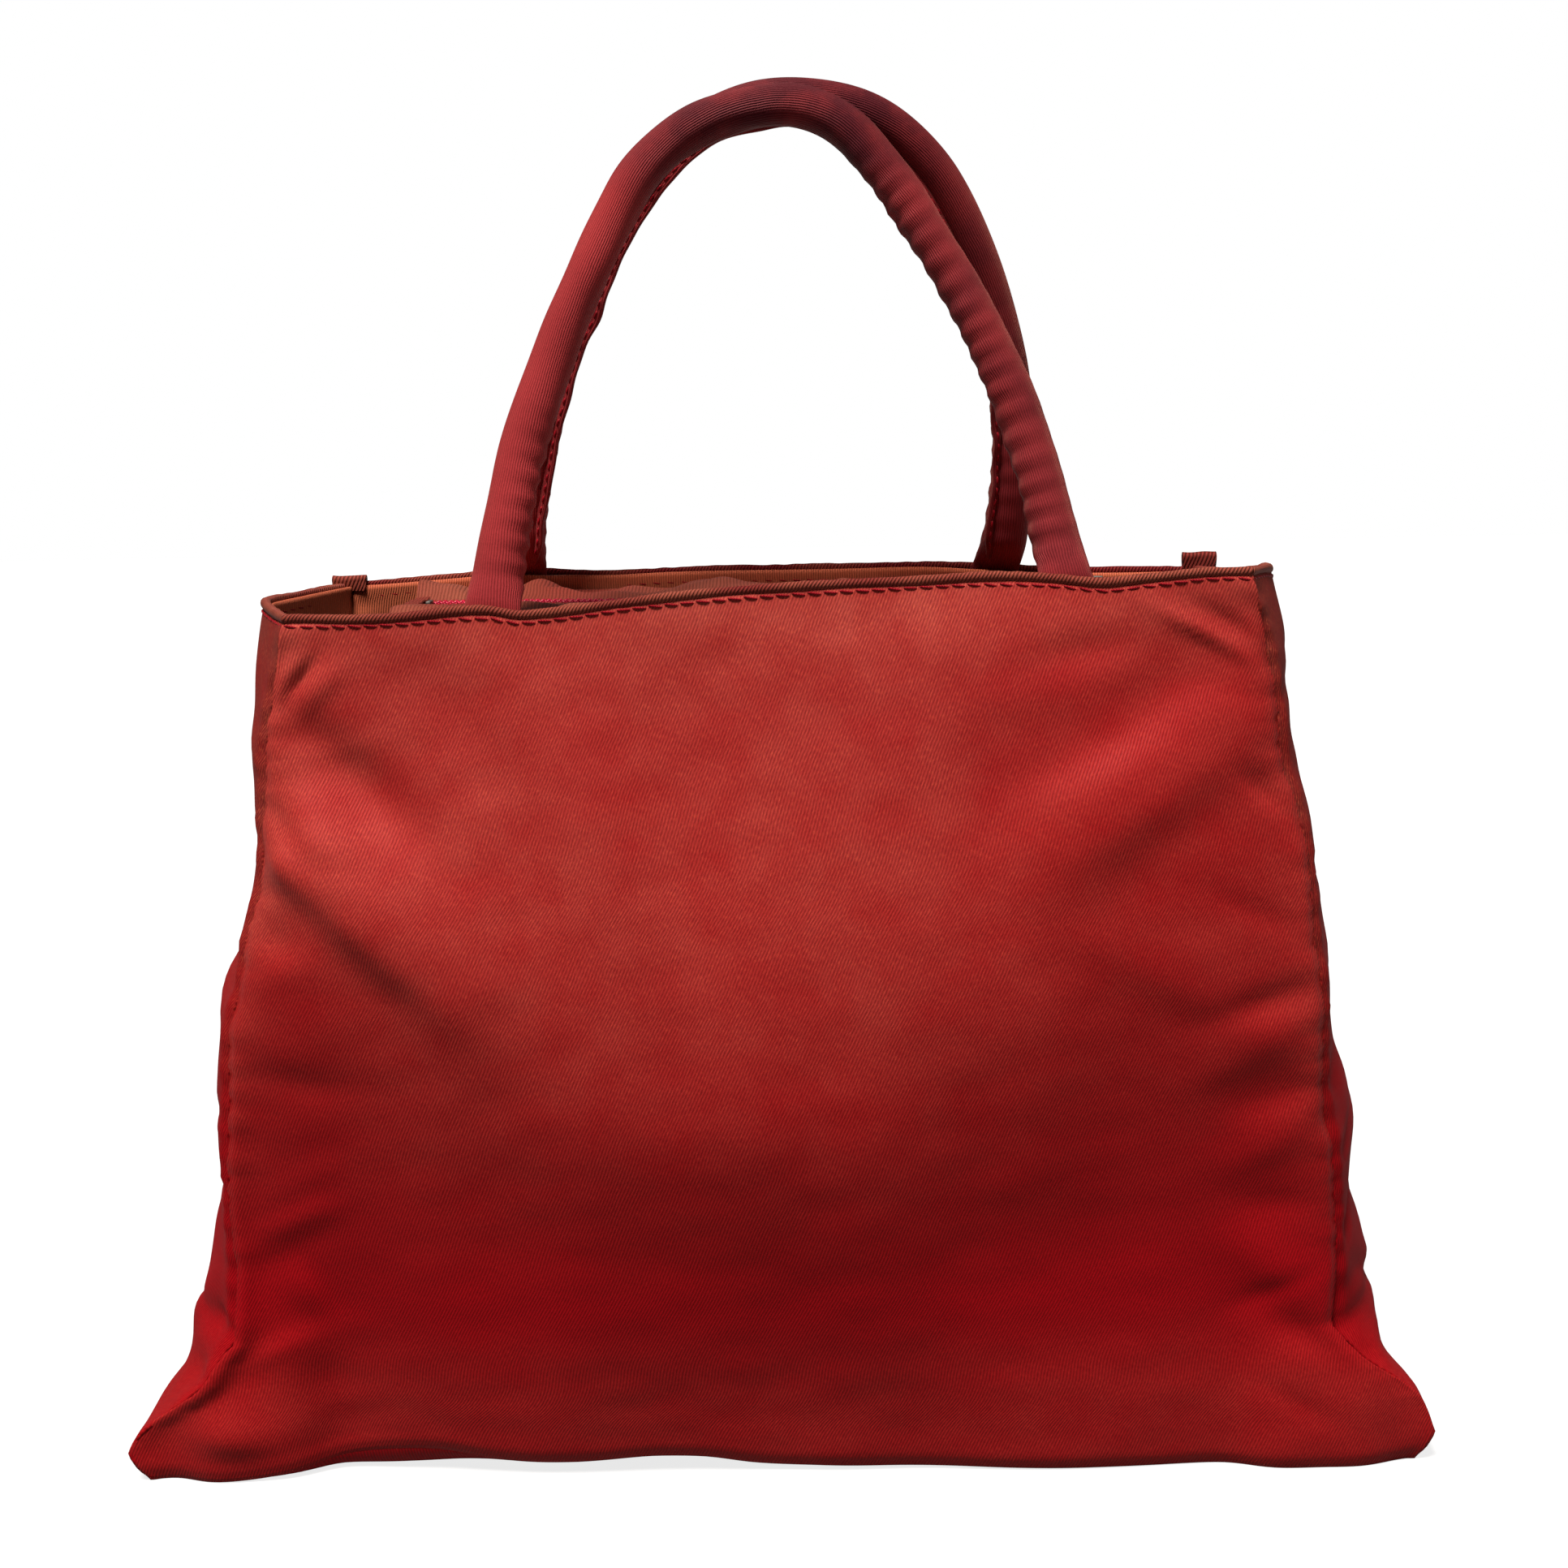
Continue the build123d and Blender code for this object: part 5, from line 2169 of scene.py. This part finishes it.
@dataclass(frozen=True)
class Lamp:
    """A distant soft lamp: the way from the bag to it, its angular size in radians, its power and colour."""

    name: str
    toward: tuple[float, float, float]
    softness: float
    power: float
    colour: Colour
    glossy: bool = False

    def build(self) -> None:
        """Hang the lamp."""
        data = bpy.data.lights.new(self.name, "SUN")
        data.angle, data.energy, data.color = self.softness, self.power, self.colour
        lamp = bpy.data.objects.new(self.name, data)
        lamp.visible_glossy = self.glossy
        lamp.rotation_euler = (-Vector(self.toward)).to_track_quat("-Z", "Y").to_euler()
        bpy.context.scene.collection.objects.link(lamp)


@dataclass
class Studio:
    """Floor, lights, background and camera."""

    camera_place: tuple[float, float, float] = (0.0033, -0.643, 0.323)
    camera_pitch: float = 10.47
    camera_roll: float = 0.99
    lens: float = 47.47
    sensor: float = 36.0
    floor_half: float = 4.0
    floor_tone: float = 0.14
    floor_glow: float = 0.80
    fill: float = 0.06
    lamps: tuple[Lamp, ...] = (
        Lamp("key", (-19, -31, 87), 0.30, 6.9, (1.0, 0.95, 0.90), True),
        Lamp("side fill", (62, -14, 62), 0.8, 0.6, (1.0, 0.96, 0.93)),
        Lamp("back fill", (8, 62, 42), 1.2, 0.8, (1.0, 0.97, 0.95)),
    )

    def build(self) -> None:
        """Make everything that isn't the bag."""
        bpy.context.scene.view_settings.view_transform = "Standard"
        self.camera()
        self.world()
        self.floor()
        for lamp in self.lamps:
            lamp.build()

    def camera(self) -> None:
        """The camera, a little above the rim and tilted down."""
        data = bpy.data.cameras.new("camera")
        data.lens, data.sensor_width = self.lens, self.sensor
        camera = bpy.data.objects.new("camera", data)
        pitch = Matrix.Rotation(math.radians(90 - self.camera_pitch), 4, "X")
        roll = Matrix.Rotation(math.radians(-self.camera_roll), 4, "Z")
        camera.matrix_world = Matrix.Translation(self.camera_place) @ pitch @ roll
        bpy.context.scene.collection.objects.link(camera)
        bpy.context.scene.camera = camera

    def world(self) -> None:
        """White to the camera, soft grey as light."""
        world = bpy.data.worlds.new("studio")
        world.use_nodes = True
        graph = Graph(world.node_tree)
        path = graph.add("LightPath").outputs
        seen = graph.math("MAXIMUM", path["Is Camera Ray"], path["Is Transmission Ray"])
        strength = graph.spread(seen, (0.0, 1.0), (self.fill, 1.0))
        back = graph.add("Background", {0: (1.0, 1.0, 1.0, 1.0), 1: strength})
        graph.add("OutputWorld", {0: back.outputs[0]})
        bpy.context.scene.world = world

    def floor(self) -> None:
        """A wide pale floor that keeps the bag's shadow."""
        half, tone = self.floor_half, self.floor_tone
        corners = np.array([(-half, -half, 0), (half, -half, 0), (half, half, 0), (-half, half, 0)], float)
        obj = mesh_object("floor", corners, [(0, 1, 2, 3)])
        made = bpy.data.materials.new("floor")
        made.use_nodes = True
        graph = Graph(made.node_tree)
        cloud = graph.noise(graph.add("TexCoord").outputs["Object"], 3.0)
        grey = graph.mix(cloud, rgba((tone,) * 3), rgba((tone + 0.02,) * 3))
        matt = graph.add("BsdfDiffuse", {"Color": grey})
        seen = graph.add("LightPath").outputs["Is Camera Ray"]
        glow = graph.add("Emission", {0: (1.0, 1.0, 1.0, 1.0), 1: graph.times(seen, self.floor_glow)})
        both = graph.add("AddShader", {0: matt.outputs[0], 1: glow.outputs[0]})
        graph.add("OutputMaterial", {0: both.outputs[0]})
        obj.data.materials.append(made)


def main() -> None:
    """Build the bag and its studio, piece by piece."""
    logging.basicConfig(level=logging.INFO, format="%(name)s %(message)s")
    finishes = Finishes()
    shell = Shell(finishes)
    front = Handle(
        finishes, Side.FRONT, apex=0.0048, foot_angles=(82.3, 81.7), foot_lifts=(-0.0016, 0.0048),
        puckers=(Pucker(0.02, 0.16, 0.2, 1.0), Pucker(0.60, 0.97, -0.7, 0.85)), flange_turn=78.0,
    )
    rear = Handle(
        finishes, Side.REAR, apex=0.0099, foot_angles=(84.1, 102.9), foot_lifts=(0.0026, 0.0012),
        puckers=(Pucker(0.02, 0.15, 0.4, 0.5), Pucker(0.75, 0.97, 0.2, 0.6)), rise=0.1477,
        shoulders=(57.6, 59),
    )
    inside = InnerLayers(shell, finishes), ZipPanel(finishes), ZipHardware(finishes)
    for part in (Studio(), shell, Rims(shell, finishes), *inside, front, rear):
        part.build()
        log.info("%s is built", type(part).__name__)


if __name__ == "__main__":
    main()
